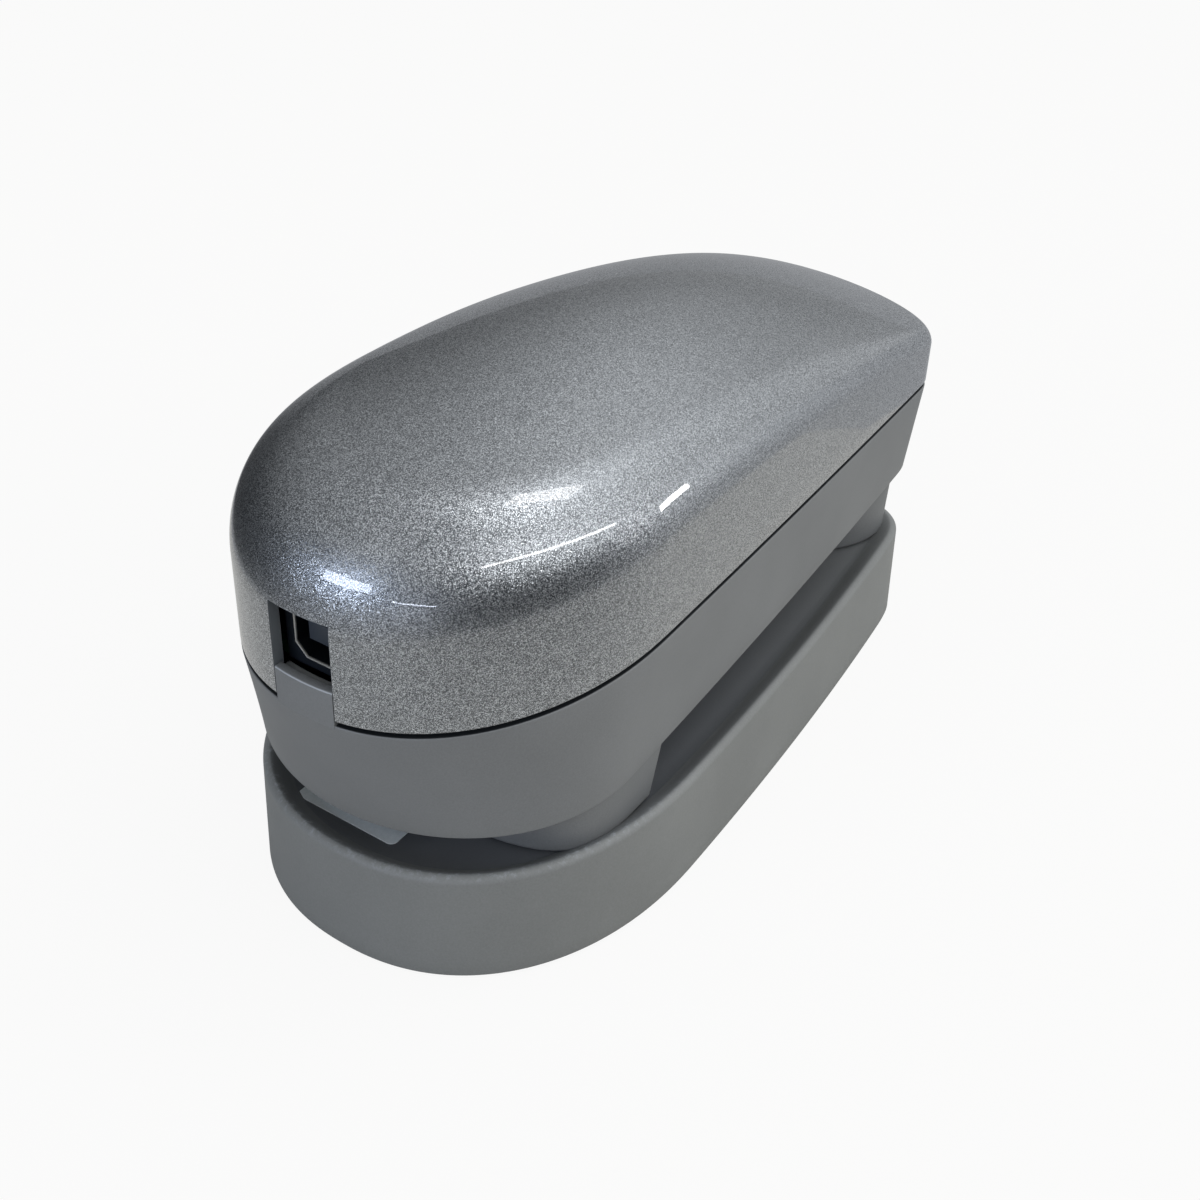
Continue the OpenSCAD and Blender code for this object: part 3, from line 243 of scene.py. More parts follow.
def by_notch(tree, place, half):
    """1 in the rear half of the part, within half of its middle plane, and 0 elsewhere."""
    across = add(tree, "Math", {0: place.outputs["Y"]}, operation="ABSOLUTE")
    within = add(tree, "Math", {0: across, 1: half * MM}, operation="LESS_THAN")
    rear = add(tree, "Math", {0: place.outputs["X"], 1: 0.0}, operation="LESS_THAN")
    return add(tree, "Math", {0: within, 1: rear}, operation="MULTIPLY")


def flake_paint():
    """Silver-grey base coat with aluminium flakes under a polished clear lacquer, sprayed on ABS.
    Each flake has its own shade and tilt, so the paint glitters most where a lamp is near the mirror direction,
    and the lacquer gives sharp reflections above it. Real flakes are about 0.05 mm; they are drawn 0.1 mm so
    that they show. The cut faces of the socket notch are bare ABS."""
    flake_mm, flake_tilt, cloud_mm, peel_mm, peel_depth_mm = 0.1, 0.26, 14, 1.6, 0.3
    cut_half, cut_top = NOTCH_HALF + 0.03, NOTCH_TOP + 0.05
    made, tree, where = new_finish("flake_paint_under_lacquer")
    flakes = add(tree, "TexVoronoi", {"Vector": where, "Scale": per_metre(flake_mm)}, feature="F1")
    tilt = add(tree, "VectorMath", {0: flakes.outputs["Color"], 1: (0.5, 0.5, 0.5)}, operation="SUBTRACT")
    lean = add(tree, "VectorMath", {0: tilt, "Scale": flake_tilt}, operation="SCALE")
    smooth = add(tree, "NewGeometry")
    leaning = add(tree, "VectorMath", {0: smooth.outputs["Normal"], 1: lean}, operation="ADD")
    facing = add(tree, "VectorMath", {0: leaning}, operation="NORMALIZE")
    pick = add(tree, "SeparateColor", {"Color": flakes.outputs["Color"]})
    shade = add(tree, "ValToRGB", {"Fac": pick.outputs["Red"]})
    shade.color_ramp.elements[0].color = linear("#33363a")
    shade.color_ramp.elements[1].color = linear("#e2e6ea")
    shade.color_ramp.elements.new(0.6).color = linear("#84888c")
    cloud = add(tree, "TexNoise", {"Vector": where, "Scale": per_metre(cloud_mm), "Detail": 2.0})
    skin = add(tree, "TexNoise", {"Vector": where, "Scale": per_metre(peel_mm), "Detail": 1.0})
    peel = add(tree, "Bump", {"Height": skin, "Strength": 0.012, "Distance": peel_depth_mm * MM})
    mottle = add(tree, "MapRange", {"Value": cloud, "To Min": 0.32, "To Max": 0.37})
    paint = add(tree, "BsdfPrincipled", {
        "Base Color": shade, "Metallic": 0.9, "Roughness": mottle, "Normal": facing, "Coat Weight": 1.0,
        "Coat Roughness": 0.025, "Coat IOR": 1.5, "Coat Normal": peel})
    place = add(tree, "SeparateXYZ", {"Vector": where})
    below = add(tree, "Math", {0: place.outputs["Z"], 1: cut_top * MM}, operation="LESS_THAN")
    cut = add(tree, "Math", {0: by_notch(tree, place, cut_half), 1: below}, operation="MULTIPLY")
    bare = add(tree, "BsdfPrincipled", {"Base Color": linear("#6a6f74"), "Roughness": 0.5, "IOR": 1.53})
    both = add(tree, "MixShader", {0: cut, 1: paint, 2: bare})
    add(tree, "OutputMaterial", {"Surface": both})
    return made


def rim_scuffs_and_highlight(tree, where):
    """Share of pale marks on the rim of the tray: fine rubbed spots near its top, at its socket end, which also paint
    the highlight that this end of the rim catches.
    """
    spot_mm, fade_x, full_x = 1.1, -20, -48
    place = add(tree, "SeparateXYZ", {"Vector": where})
    edge = add(tree, "MapRange", {"Value": place.outputs["Z"], "From Min": (BASE_H - 0.8) * MM,
                                  "From Max": (BASE_H - 0.1) * MM})
    end = add(tree, "MapRange", {"Value": place.outputs["X"], "From Min": fade_x * MM, "From Max": full_x * MM})
    near = add(tree, "Math", {0: edge, 1: end}, operation="MULTIPLY")
    spots = add(tree, "TexNoise", {"Vector": where, "Scale": per_metre(spot_mm), "Detail": 6.0,
                                   "Roughness": 0.75})
    scuffs = add(tree, "MapRange", {"Value": spots, "From Min": 0.5, "From Max": 0.76})
    return add(tree, "Math", {0: near, 1: scuffs}, operation="MULTIPLY")


def painted_tray_shade(tree, where):
    """Share of painted shade inside the tray: its floor, and half as much the faces that look inwards, which are
    those whose direction times the way from the middle is small. The painted shade fades towards the front end."""
    full_x, fade_x = -30, 60
    place = add(tree, "SeparateXYZ", {"Vector": where})
    low = add(tree, "MapRange", {"Value": place.outputs["Z"], "From Min": (FOOT_Z + 0.7) * MM,
                                 "From Max": (FOOT_Z + 0.1) * MM})
    faces = add(tree, "NewGeometry")
    turned = add(tree, "SeparateXYZ", {"Vector": faces.outputs["Normal"]})
    up = add(tree, "MapRange", {"Value": turned.outputs["Z"], "From Min": 0.5, "From Max": 0.95})
    floor = add(tree, "Math", {0: low, 1: up}, operation="MULTIPLY")
    flat = add(tree, "VectorMath", {0: where, 1: (1.0, 1.0, 0.0)}, operation="MULTIPLY")
    out = add(tree, "VectorMath", {0: flat, 1: faces.outputs["Normal"]}, operation="DOT_PRODUCT")
    inner = add(tree, "MapRange", {"Value": out.outputs["Value"], "From Min": 12 * MM, "From Max": -4 * MM,
                                   "To Max": 0.5})
    inside = add(tree, "Math", {0: floor, 1: inner}, operation="MAXIMUM")
    rear = add(tree, "MapRange", {"Value": place.outputs["X"], "From Min": full_x * MM, "From Max": fade_x * MM,
                                  "To Min": 1.0, "To Max": 0.5})
    return add(tree, "Math", {0: inside, 1: rear}, operation="MULTIPLY")


def painted_joint_shade(tree, where):
    """Share of painted shade in the open joint: everything from the sloping seam up, apart from the socket tab."""
    place = add(tree, "SeparateXYZ", {"Vector": where})
    above = add(tree, "Math", {0: place.outputs["X"], 1: -SEAM_CLIMB / BODY_L, 2: place.outputs["Z"]},
                operation="MULTIPLY_ADD")
    joint = add(tree, "MapRange", {"Value": above, "From Min": (seam_z(0) - 0.08) * MM,
                                   "From Max": (seam_z(0) - 0.01) * MM})
    rest = add(tree, "Math", {0: 1.0, 1: by_notch(tree, place, TAB_WITHIN)}, operation="SUBTRACT")
    return add(tree, "Math", {0: joint, 1: rest}, operation="MULTIPLY")


def tab_edge_wear_and_highlight(tree, where):
    """Share of the pale top edge of the socket tab, worn and with a painted highlight: a thin strip just below its
    top, in the notch at the rear.
    """
    strip_z, strip_half = TAB_TOP - 0.14, 0.11
    place = add(tree, "SeparateXYZ", {"Vector": where})
    above = add(tree, "Math", {0: place.outputs["Z"], 1: strip_z * MM}, operation="SUBTRACT")
    away = add(tree, "Math", {0: above}, operation="ABSOLUTE")
    strip = add(tree, "MapRange", {"Value": away, "From Min": strip_half * MM, "From Max": 0.4 * strip_half * MM})
    return add(tree, "Math", {0: strip, 1: by_notch(tree, place, TAB_WITHIN)}, operation="MULTIPLY")


def liner_inner_shade(tree, where):
    """Share of painted shade inside the socket liner: all but its front edge."""
    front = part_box("usb_liner")[0][0]
    place = add(tree, "SeparateXYZ", {"Vector": where})
    return add(tree, "MapRange", {"Value": place.outputs["X"], "From Min": front + 0.1 * MM,
                                  "From Max": front + 0.3 * MM})


def with_marks(tree, where, colour, marks):
    """The colour with each mark's own colour mixed in by the share that its function gives at a place."""
    for share, tone in marks:
        mixed = add(tree, "Mix", {0: share(tree, where), 6: colour, 7: linear(tone)}, data_type="RGBA")
        colour = mixed.outputs[2]
    return colour


def moulded(name, dark, pale, grain_mm, depth_mm, rough, ior=1.53, marks=()):
    """Injection-moulded or pressed plastic with a spark-eroded grain of one size: the grain moves the
    roughness, the height and slightly the colour, and larger clouds keep the colour from being even.
    marks are pairs of a function that gives the share of a mark at a place and the colour of the mark."""
    cloud_mm = 22
    made, tree, where = new_finish(name)
    grain = add(tree, "TexNoise", {"Vector": where, "Scale": per_metre(grain_mm), "Detail": 3.0})
    cloud = add(tree, "TexNoise", {"Vector": where, "Scale": per_metre(cloud_mm), "Detail": 4.0})
    blend = add(tree, "Math", {0: grain, 1: cloud}, operation="ADD")
    spread = add(tree, "MapRange", {"Value": blend, "From Min": 0.7, "From Max": 1.3})
    shade = add(tree, "ValToRGB", {"Fac": spread})
    for stop, tone in zip(shade.color_ramp.elements, (dark, pale)):
        stop.color = linear(tone)
    colour = with_marks(tree, where, shade, marks)
    matt = add(tree, "MapRange", {"Value": grain, "To Min": rough[0], "To Max": rough[1]})
    bump = add(tree, "Bump", {"Height": grain, "Strength": 1.0, "Distance": depth_mm * MM})
    shader = add(tree, "BsdfPrincipled", {"Base Color": colour, "Roughness": matt, "IOR": ior, "Normal": bump})
    add(tree, "OutputMaterial", {"Surface": shader})
    return made


def metal(name, dark, pale, streak_mm, rough, along=(1.0, 1.0, 1.0), marks=()):
    """Bare or plated metal: fine streaks of one spacing, drawn out along one axis, move its tone and roughness.
    marks are as for moulded."""
    made, tree, where = new_finish(name)
    drawn = add(tree, "Mapping", {"Vector": where, "Scale": along})
    streaks = add(tree, "TexNoise", {"Vector": drawn, "Scale": per_metre(streak_mm), "Detail": 4.0})
    shade = add(tree, "ValToRGB", {"Fac": streaks})
    for stop, tone in zip(shade.color_ramp.elements, (dark, pale)):
        stop.color = linear(tone)
    polish = add(tree, "MapRange", {"Value": streaks, "To Min": rough[0], "To Max": rough[1]})
    shader = add(tree, "BsdfPrincipled", {
        "Base Color": with_marks(tree, where, shade, marks), "Metallic": 1.0,
        "Roughness": polish})
    add(tree, "OutputMaterial", {"Surface": shader})
    return made


def clear_glass(name, tint, ior):
    """Polished glass: clear, with a faint dust film that is seen only in its roughness."""
    dust_mm = 1.5
    made, tree, where = new_finish(name)
    dust = add(tree, "TexNoise", {"Vector": where, "Scale": per_metre(dust_mm), "Detail": 4.0})
    film = add(tree, "MapRange", {"Value": dust, "To Min": 0.0, "To Max": 0.06})
    shader = add(tree, "BsdfPrincipled", {
        "Base Color": linear(tint), "Roughness": film, "IOR": ior, "Transmission Weight": 1.0})
    add(tree, "OutputMaterial", {"Surface": shader})
    return made


COVER_PAINT = flake_paint()
# Eroded mould grain scatters the light: no mirror image and a broad soft sheen; the joint is painted dark as shade,
# and the tab's top edge is pale with wear and a painted highlight
HOUSING_ABS = moulded("housing_abs_fine_grain", "#6a6c6d", "#767879", 0.28, 0.012, (0.42, 0.58),
                       marks=[(painted_joint_shade, "#14181c"), (tab_edge_wear_and_highlight, "#a6abaf")])
# Coarser grain, so it looks drier than the housing; painted shade inside the tray, and pale rubbed spots on the rim
# at the socket end that also paint a highlight there
BASE_ABS = moulded("base_abs_fine_grain", "#737574", "#7f8180", 0.34, 0.016, (0.5, 0.66),
                   marks=[(painted_tray_shade, "#515458"), (rim_scuffs_and_highlight, "#979c9f")])
# Polished by the thumb: a tighter sheen than the band round it
BUTTON_ABS = moulded("button_abs_satin", "#565b60", "#62676c", 0.2, 0.004, (0.32, 0.42))
# Matt black mouldings that hide in the shade of the base and of the socket
BLACK_ABS = moulded("black_abs_matt", "#15191d", "#20252a", 0.3, 0.01, (0.45, 0.6))
SOCKET_NYLON = moulded("socket_nylon_black", "#0c1219", "#161d26", 0.25, 0.006, (0.35, 0.5))
TONGUE_NYLON = moulded("tongue_nylon_grey", "#272e37", "#343c46", 0.25, 0.005, (0.35, 0.5))
# Rubber takes all gloss away; fluoropolymer looks waxy; glaze and ceramic are white, shiny and dry
RUBBER = moulded("foot_rubber", "#202225", "#2b2e31", 0.4, 0.02, (0.75, 0.9), 1.52)
GLIDE_PTFE = moulded("glide_ptfe_white", "#d6d6d1", "#e6e6e2", 0.5, 0.004, (0.35, 0.5), 1.38)
TILE_CERAMIC = moulded("tile_ceramic_glazed", "#ecece7", "#f4f4f0", 0.8, 0.001, (0.12, 0.18), 1.6)
HOLDER_CERAMIC = moulded("holder_ceramic", "#cfc9b9", "#dcd7c9", 0.4, 0.006, (0.6, 0.75), 1.6)
# Green lacquered glass laminate, dull moulded resin, and glossy amber and pale films
BOARD_LAMINATE = moulded("board_laminate_green", "#275c40", "#347552", 0.6, 0.004, (0.3, 0.4), 1.55)
CHIP_RESIN = moulded("chip_resin", "#191c1f", "#25282c", 0.25, 0.006, (0.5, 0.65), 1.58)
RIBBON_FILM = moulded("ribbon_polyimide", "#a87a30", "#c4954a", 1.0, 0.002, (0.25, 0.35), 1.7)
LABEL_FILM = moulded("label_polyester_film", "#c0c8cb", "#d0d7da", 0.6, 0.002, (0.3, 0.4), 1.6)
# Blasted and dyed black, so that no stray light is thrown back
ANODISED_BLACK = metal("optics_anodised_black", "#1b1e22", "#2c3036", 0.4, (0.45, 0.6))
# Zinc is bluish and cloudy, nickel warm with a bright front edge and painted shade inside the socket, spring wire
# grey and drawn smooth
SCREW_STEEL = metal("screw_steel_zinc", "#9a9d9f", "#c2c5c6", 0.3, (0.25, 0.4))
LINER_STEEL = metal("liner_steel_nickel", "#efece2", "#fbf9f2", 0.2, (0.5, 0.62), (0.2, 1.0, 1.0),
                    [(liner_inner_shade, "#2c3138")])
SPRING_STEEL = metal("spring_steel", "#8d9092", "#b5b8b9", 0.2, (0.2, 0.35))
# Evaporated aluminium is a clean mirror, and plated gold a yellow one
MIRROR_ALUMINIUM = metal("mirror_aluminium", "#d5d7d9", "#eceeef", 1.0, (0.04, 0.1))
CONTACT_GOLD = metal("contact_gold_plate", "#b8903f", "#d8b462", 0.2, (0.2, 0.3))
# Polished glass and quartz, clear with a bright rim; ruled lines draw the grating's gleam out
LENS_GLASS = clear_glass("lens_glass", "#f2f7f7", 1.52)
LAMP_GLASS = clear_glass("lamp_quartz", "#f4f4f2", 1.46)
GRATING_GLASS = metal("grating_gold_coat", "#a5a9c0", "#c9cdd8", 0.5, (0.08, 0.15), (1.0, 0.05, 1.0))

NODE_FINISHES = [
    (BLACK_ABS, "base_plate tile_ring"), (RUBBER, "base_feet"), (TILE_CERAMIC, "white_tile"),
    (SCREW_STEEL, "base_screws slit_plate housing_screws board_screws optics_screws switch_screws"),
    (GLIDE_PTFE, "rear_glides"), (ANODISED_BLACK, "aperture_plate lens_barrel optics_block optics_lid"),
    (LENS_GLASS, "head_window objective_lens"), (MIRROR_ALUMINIUM, "ring_mirror fold_mirror"),
    (LAMP_GLASS, "lamp_bulb"), (HOLDER_CERAMIC, "lamp_holder"), (GRATING_GLASS, "grating"),
    (CHIP_RESIN, "detector_array board_parts tact_switch"), (RIBBON_FILM, "flex_cable"),
    (BOARD_LAMINATE, "detector_board main_board switch_board"), (SOCKET_NYLON, "usb_body"),
    (LINER_STEEL, "usb_liner"), (TONGUE_NYLON, "usb_tongue"), (CONTACT_GOLD, "usb_contacts")]
for finish, names in NODE_FINISHES:
    for name in names.split():
        nodes[name].data.materials.clear()
        nodes[name].data.materials.append(finish)


# The cover
SPINE_REAR = SEAM.rear + SEAM.round
SPINE_FRONT = SEAM.front - SEAM.nose - 4.0
CREST_X, CREST_H = -15.3, 35.2
REAR_FALL, FRONT_FALL, FRONT_POWER = 5.2, 20.6, 1.93
WALL_FALL_X, WALL_REAR_H, WALL_FRONT_H, WALL_POWER = -58.0, 29.0, 9.6, 1.61
CREASE_REAR_R, CREASE_FRONT_R, CREASE_POWER = 15.3, 2.5, 1.45
CREASE_FULLNESS = 0.75
WALL_DEEP = 0.6


def wall_h(x):
    """Height of the upright wall above the seam: level at the rear, then falling with a power of the way."""
    share = np.clip((x - WALL_FALL_X) / (FRONT_X - WALL_FALL_X), 0, 1)
    return mix(WALL_REAR_H, WALL_FRONT_H, share ** WALL_POWER)


def crease_r(x):
    """Size of the crease rounding: it shrinks with a power of the share left to the measuring end."""
    left = 1 - np.clip((x - REAR_X) / BODY_L, 0, 1)
    return mix(CREASE_FRONT_R, CREASE_REAR_R, left ** CREASE_POWER)


def crest(x):
    """Height of the dome along its middle: it falls from its top with a power of the way to either end."""
    rear = REAR_FALL * (np.maximum(CREST_X - x, 0) / (CREST_X - REAR_X)) ** 2
    front = FRONT_FALL * (np.maximum(x - CREST_X, 0) / (FRONT_X - CREST_X)) ** FRONT_POWER
    return CREST_H - rear - front


def dome_h(x, y, deep):
    """Height above the seam of the dome, or of its inside deep below it: from crest to wall height with the square
    of the way across."""
    return mix(crest(x) - deep, wall_h(x) - WALL_DEEP * deep, (y / (side_y(SEAM, x) - deep)) ** 2)


def towards_spine(o, u):
    """Plan points a share u of the way from the outline to the spine line in the middle."""
    x = mix(o[:, 0], np.clip(o[:, 0], SPINE_REAR, SPINE_FRONT), u)
    return np.stack([x, o[:, 1] * (1 - u)], 1)


def cover_rows(p, deep, crease_steps, dome_steps):
    """Rows of the cover from the foot of its crease to the spine. The crease is a conic from the wall to the
    dome: the middle one of its three points has a weight below 1, it starts upright and it ends on the slope of
    the dome. The dome follows, with its height as a function of the place in plan."""
    least_r, most_share, step = 1.0, 0.9, 0.001
    o = outline(p)
    r = np.maximum(crease_r(o[:, 0]) - deep, least_r)
    reach = np.linalg.norm(o - towards_spine(o, 1.0), axis=1)
    c = np.minimum(r / reach, most_share)

    def height(u):
        q = towards_spine(o, u)
        return dome_h(q[:, 0], q[:, 1], deep)

    low = dome_h(o[:, 0], o[:, 1], deep) - r
    knee = height(c)
    slope = (height(c + step) - height(c - step)) / (2 * step)
    corner = knee - slope * c
    rows = []
    for t in np.linspace(0, 1, crease_steps + 1):
        middle = 2 * CREASE_FULLNESS * t * (1 - t)
        whole = (1 - t) ** 2 + middle + t * t
        q = towards_spine(o, t * t * c / whole)
        z = ((1 - t) ** 2 * low + middle * corner + t * t * knee) / whole
        rows.append(at_height(q, seam_z(q[:, 0]) + z))
    for k in np.linspace(0, 1, dome_steps + 1)[1:]:
        u = mix(c, 1.0, k)
        q = towards_spine(o, u)
        rows.append(at_height(q, seam_z(q[:, 0]) + dome_h(q[:, 0], q[:, 1], deep)))
    return rows


def above_seam(p, up):
    """The outline of a plan at a height above the sloping seam."""
    o = outline(p)
    return at_height(o, seam_z(o[:, 0]) + up)


def held_above(rows, top):
    """Columns cut off at a height: every point below it moves to where its column, as it rises, crosses it."""
    z = rows[:, :, 2]
    column = np.arange(rows.shape[1])
    above = np.argmax(z >= top, axis=0)
    low, high = rows[above - 1, column], rows[above, column]
    crossing = mix(low, high, ((top - low[:, 2]) / (high[:, 2] - low[:, 2]))[:, None])
    return np.where(z[:, :, None] < top, crossing, rows)


def make_cover():
    """One grid: inside from the spine down, round the rebate and the lower edge, up the wall and over the
    crease to the spine. Columns in the notch are cut off at its top, so that they close its ceiling, and doubled
    columns at its sides close its cheeks."""
    edge_r, rebate, shoulder = 0.3, 0.95, 3.05
    inner = cover_rows(inset(SEAM, COVER_T), COVER_T, crease_steps=10, dome_steps=10)
    outer = cover_rows(SEAM, 0.0, crease_steps=32, dome_steps=56)
    rows = [above_seam(inset(SEAM, COVER_T), shoulder), above_seam(inset(SEAM, rebate), shoulder),
            above_seam(inset(SEAM, rebate), SEAM_GAP)]
    rows += [above_seam(inset(SEAM, edge_r - edge_r * math.sin(a)), SEAM_GAP + edge_r - edge_r * math.cos(a))
             for a in EDGE_ANGLES]
    rows += ruled(rows[-1], outer[0], 5)[1:] + outer[1:]
    last = NOTCH_COLUMNS
    count = len(rows[0])
    order = np.concatenate([np.arange(last + 1), np.arange(last, count - last + 1),
                            np.arange(count - last, count)])
    in_notch = np.minimum(np.arange(len(order)), len(order) - np.arange(len(order))) <= last
    inside, outside = np.stack(rows[:1] + inner)[:, order], np.stack(rows[1:])[:, order]
    held = np.concatenate([held_above(inside, NOTCH_TOP)[::-1], held_above(outside, NOTCH_TOP)])
    grid = np.where(in_notch[:, None], held, np.concatenate([inside[::-1], outside]))
    cheeks = [last, last + 1, len(order) - last - 1, len(order) - last]
    low = grid[:, cheeks, 2] <= NOTCH_TOP + 1e-6
    grid[:, cheeks, 1] = np.where(low, np.sign(grid[:, cheeks, 1]) * NOTCH_HALF, grid[:, cheeks, 1])
    piece("cover_shell", [patch(list(grid))], "instrument", COVER_PAINT, ["top_cover"])


# The lower housing
BUTTON_X, BUTTON_Z = 8.0, 41.39
BUTTON_L, BUTTON_H, BUTTON_GAP = 26.0, 9.0, 0.25
BUTTON_FACE_Y = 33.98
SCREW_X = (-20.0, 36.0)
SCREW_IN = 7.0
RECESS_R = 2.65


def band_ring(share, d):
    """A ring on the straight lines between lip and seam, drawn d further in."""
    low, high = outline(inset(LIP, d)), outline(inset(SEAM, d))
    low, high = at_height(low, lip_z(low[:, 0])), at_height(high, seam_z(high[:, 0]))
    return mix(low, high, share)


def lip_half(x, d):
    """Half width of the lip at x: the superellipse of the rear, the side, or the superellipse of the nose."""
    p = inset(LIP, d)
    rear = np.clip((p.rear + p.round - x) / p.round, 0, 1)
    nose = np.clip((x - p.front + p.nose) / p.nose, 0, 1)
    return (side_y(p, x) * (1 - rear ** p.power) ** (1 / p.power)
            * (1 - nose ** p.nose_power) ** (1 / p.nose_power))


def floor_patch(x, v, d):
    """Part of the underside on the sloping plane of the lip: across it, v goes from -1 to 1."""
    y = v * lip_half(x, d)
    return np.stack([x, y, lip_z(x)], -1)


def underside(d):
    """The flat underside with its four screw recesses. Strips between the recesses are plain grids; round each
    recess a grid runs from a square to the circle and then up the bore."""
    half_x, v_low, v_high = 4.5, 0.66, 0.93
    soft, softest, bore_h = 0.3, 0.09, 12.0
    columns, end_rows, strip_rows = 13, 60, 12
    stops = [inset(LIP, d).rear, SCREW_X[0] - half_x, SCREW_X[0] + half_x, SCREW_X[1] - half_x,
             SCREW_X[1] + half_x, inset(LIP, d).front]
    made = []
    for k in range(5):
        share = np.linspace(0, 1, end_rows if k in (0, 4) else strip_rows)
        ease = share ** 2 if k == 0 else 1 - (1 - share) ** 2 if k == 4 else share
        x = mix(stops[k], stops[k + 1], ease)
        bands = [(-1, 1)] if k in (0, 2, 4) else [(-1, -v_high), (-v_low, v_low), (v_high, 1)]
        for low, high in bands:
            across, along = np.meshgrid(np.linspace(low, high, columns), x)
            made.append(patch(list(floor_patch(along, across, d)[::-1]), closed=False))
    a = np.radians(np.arange(0, 360, 7.5))
    circle = np.stack([np.cos(a), np.sin(a)], 1)
    square = circle / np.abs(circle).max(1)[:, None]
    profile = [(RECESS_R + soft, 0.0), (RECESS_R + softest, softest), (RECESS_R, soft), (RECESS_R, bore_h)]
    for sx in SCREW_X:
        sy = side_y(SEAM, sx) - SCREW_IN
        for s in (-1, 1):
            x = sx + half_x * square[:, 0]
            v = s * mix(v_low, v_high, 0.5 + 0.5 * square[:, 1])
            rims = []
            for r, up in profile:
                rim_x, rim_y = sx + r * circle[:, 0], s * (sy + r * circle[:, 1])
                rims.append(np.stack([rim_x, rim_y, lip_z(rim_x) + up], 1))
            rows = ruled(floor_patch(x, v, d), rims[0], 5) + rims[1:]
            made.append(patch([r[::-s] for r in rows[::-1]]))
    return made


def stadium(length, height):
    """A bar with round ends as a ring in X and Z about its middle: two half circles joined by straight sides."""
    end_count, side_count = 40, 25
    r = height / 2
    a = np.radians(np.linspace(-90, 90, end_count))
    end = np.stack([length / 2 - r + r * np.cos(a), r * np.sin(a)], 1)
    shares = np.linspace(0, 1, side_count)[1:-1, None]
    top = mix(end[-1] * [1, 1], end[-1] * [-1, 1], shares)
    return np.concatenate([end, top, -end, -top])


def on_band(t, v):
    """A point of the +Y side of the band: t runs along the straight side, v from the lip to the seam."""
    xl = mix(LIP.rear + LIP.round, LIP.front - LIP.nose, t)
    xs = mix(SEAM.rear + SEAM.round, SEAM.front - SEAM.nose, t)
    low = np.stack([xl, side_y(LIP, xl), lip_z(xl)], -1)
    high = np.stack([xs, side_y(SEAM, xs), seam_z(xs)], -1)
    return mix(low, high, v[..., None])


def band_place(x, z):
    """The shares t and v whose point on the band has this x and z, found by a few Newton steps."""
    steps, e = 8, 1e-4
    t, v = np.full_like(x, 0.45), np.full_like(x, 0.5)
    for _ in range(steps):
        at, dt, dv = on_band(t, v), on_band(t + e, v), on_band(t, v + e)
        a, b = (dt - at)[:, 0] / e, (dv - at)[:, 0] / e
        c, d = (dt - at)[:, 2] / e, (dv - at)[:, 2] / e
        fx, fz = x - at[:, 0], z - at[:, 2]
        det = a * d - b * c
        t, v = t + (fx * d - fz * b) / det, v + (a * fz - c * fx) / det
    return t, v


# Columns of the straight side between which the band is cut out round the button
BUTTON_SPAN = (17, 46)


def button_hole(lip_r, top_r):
    """The stretch of band round the button: a grid from a rectangle to the round-ended hole, then inwards. The
    points of the ring nearest to the four corners of the rectangle are moved into them."""
    soft_r, bend_share, bend_in = 0.25, 0.7, 0.08
    hole_l, hole_h = BUTTON_L + 2 * BUTTON_GAP, BUTTON_H + 2 * BUTTON_GAP
    ring = stadium(hole_l, hole_h)
    soft = stadium(hole_l + 2 * soft_r, hole_h + 2 * soft_r)
    t1, t2 = SIDE_SHARES[BUTTON_SPAN[0]], SIDE_SHARES[BUTTON_SPAN[1]]
    t_hole, v_hole = band_place(BUTTON_X + soft[:, 0], BUTTON_Z + soft[:, 1])
    a, b = (2 * t_hole - t1 - t2) / (t2 - t1), 2 * v_hole - 1
    reach = np.maximum(np.abs(a), np.abs(b))
    a, b = a / reach, b / reach
    for corner in ((-1, -1), (-1, 1), (1, -1), (1, 1)):
        nearest = np.argmin(np.hypot(a - corner[0], b - corner[1]))
        a[nearest], b[nearest] = corner
    t_edge = mix(t1, t2, 0.5 + 0.5 * a)
    tall = on_band(t_edge, np.ones_like(a))[:, 2] - on_band(t_edge, np.zeros_like(a))[:, 2]
    v_edge = mix(lip_r / tall, 1 - top_r / tall, 0.5 + 0.5 * b)
    rows = [on_band(mix(t_edge, t_hole, k), mix(v_edge, v_hole, k)) for k in np.linspace(0, 1, 9)]
    t_in, v_in = band_place(BUTTON_X + ring[:, 0], BUTTON_Z + ring[:, 1])
    brink = on_band(t_in, v_in)
    rows += [mix(rows[-1], brink, bend_share) - [0, bend_in, 0], brink - [0, soft_r, 0],
             brink - [0, HOUSING_T, 0]]
    return patch(rows[::-1])


def socket_tab():
    """The slice of the rear wall that stands in the notch: a profile of depths and heights carried along the
    rear outline. Its outer half is a rim, its inner half a lower ledge; collapsed end columns close its sides."""
    half, top, depth, drop = 5.35, TAB_TOP, 3.0, 0.9
    y = np.linspace(-half, half, 33)
    rise = (np.abs(y) / (SEAM.width / 2)) ** SEAM.power
    x = SEAM.rear + SEAM.round * (1 - (1 - rise) ** (1 / SEAM.power))
    low = seam_z(REAR_X) - 0.5
    profile = [(0.0, low), (0.0, top - 0.35), (0.03, top - 0.2), (0.1, top - 0.1), (0.2, top - 0.03), (0.35, top),
               (1.3, top), (1.42, top - 0.05), (1.5, top - 0.2), (1.5, top - drop + 0.15), (1.6, top - drop),
               (depth, top - drop), (depth, low)]
    grid = np.stack([np.stack([x + d, y, np.full_like(y, z)], 1) for d, z in profile])
    ends = grid[:, [0, -1]].copy()
    ends[:, :, 2] = low
    grid = np.concatenate([ends[:, :1], grid, ends[:, 1:]], 1)
    return patch(list(grid), closed=False)


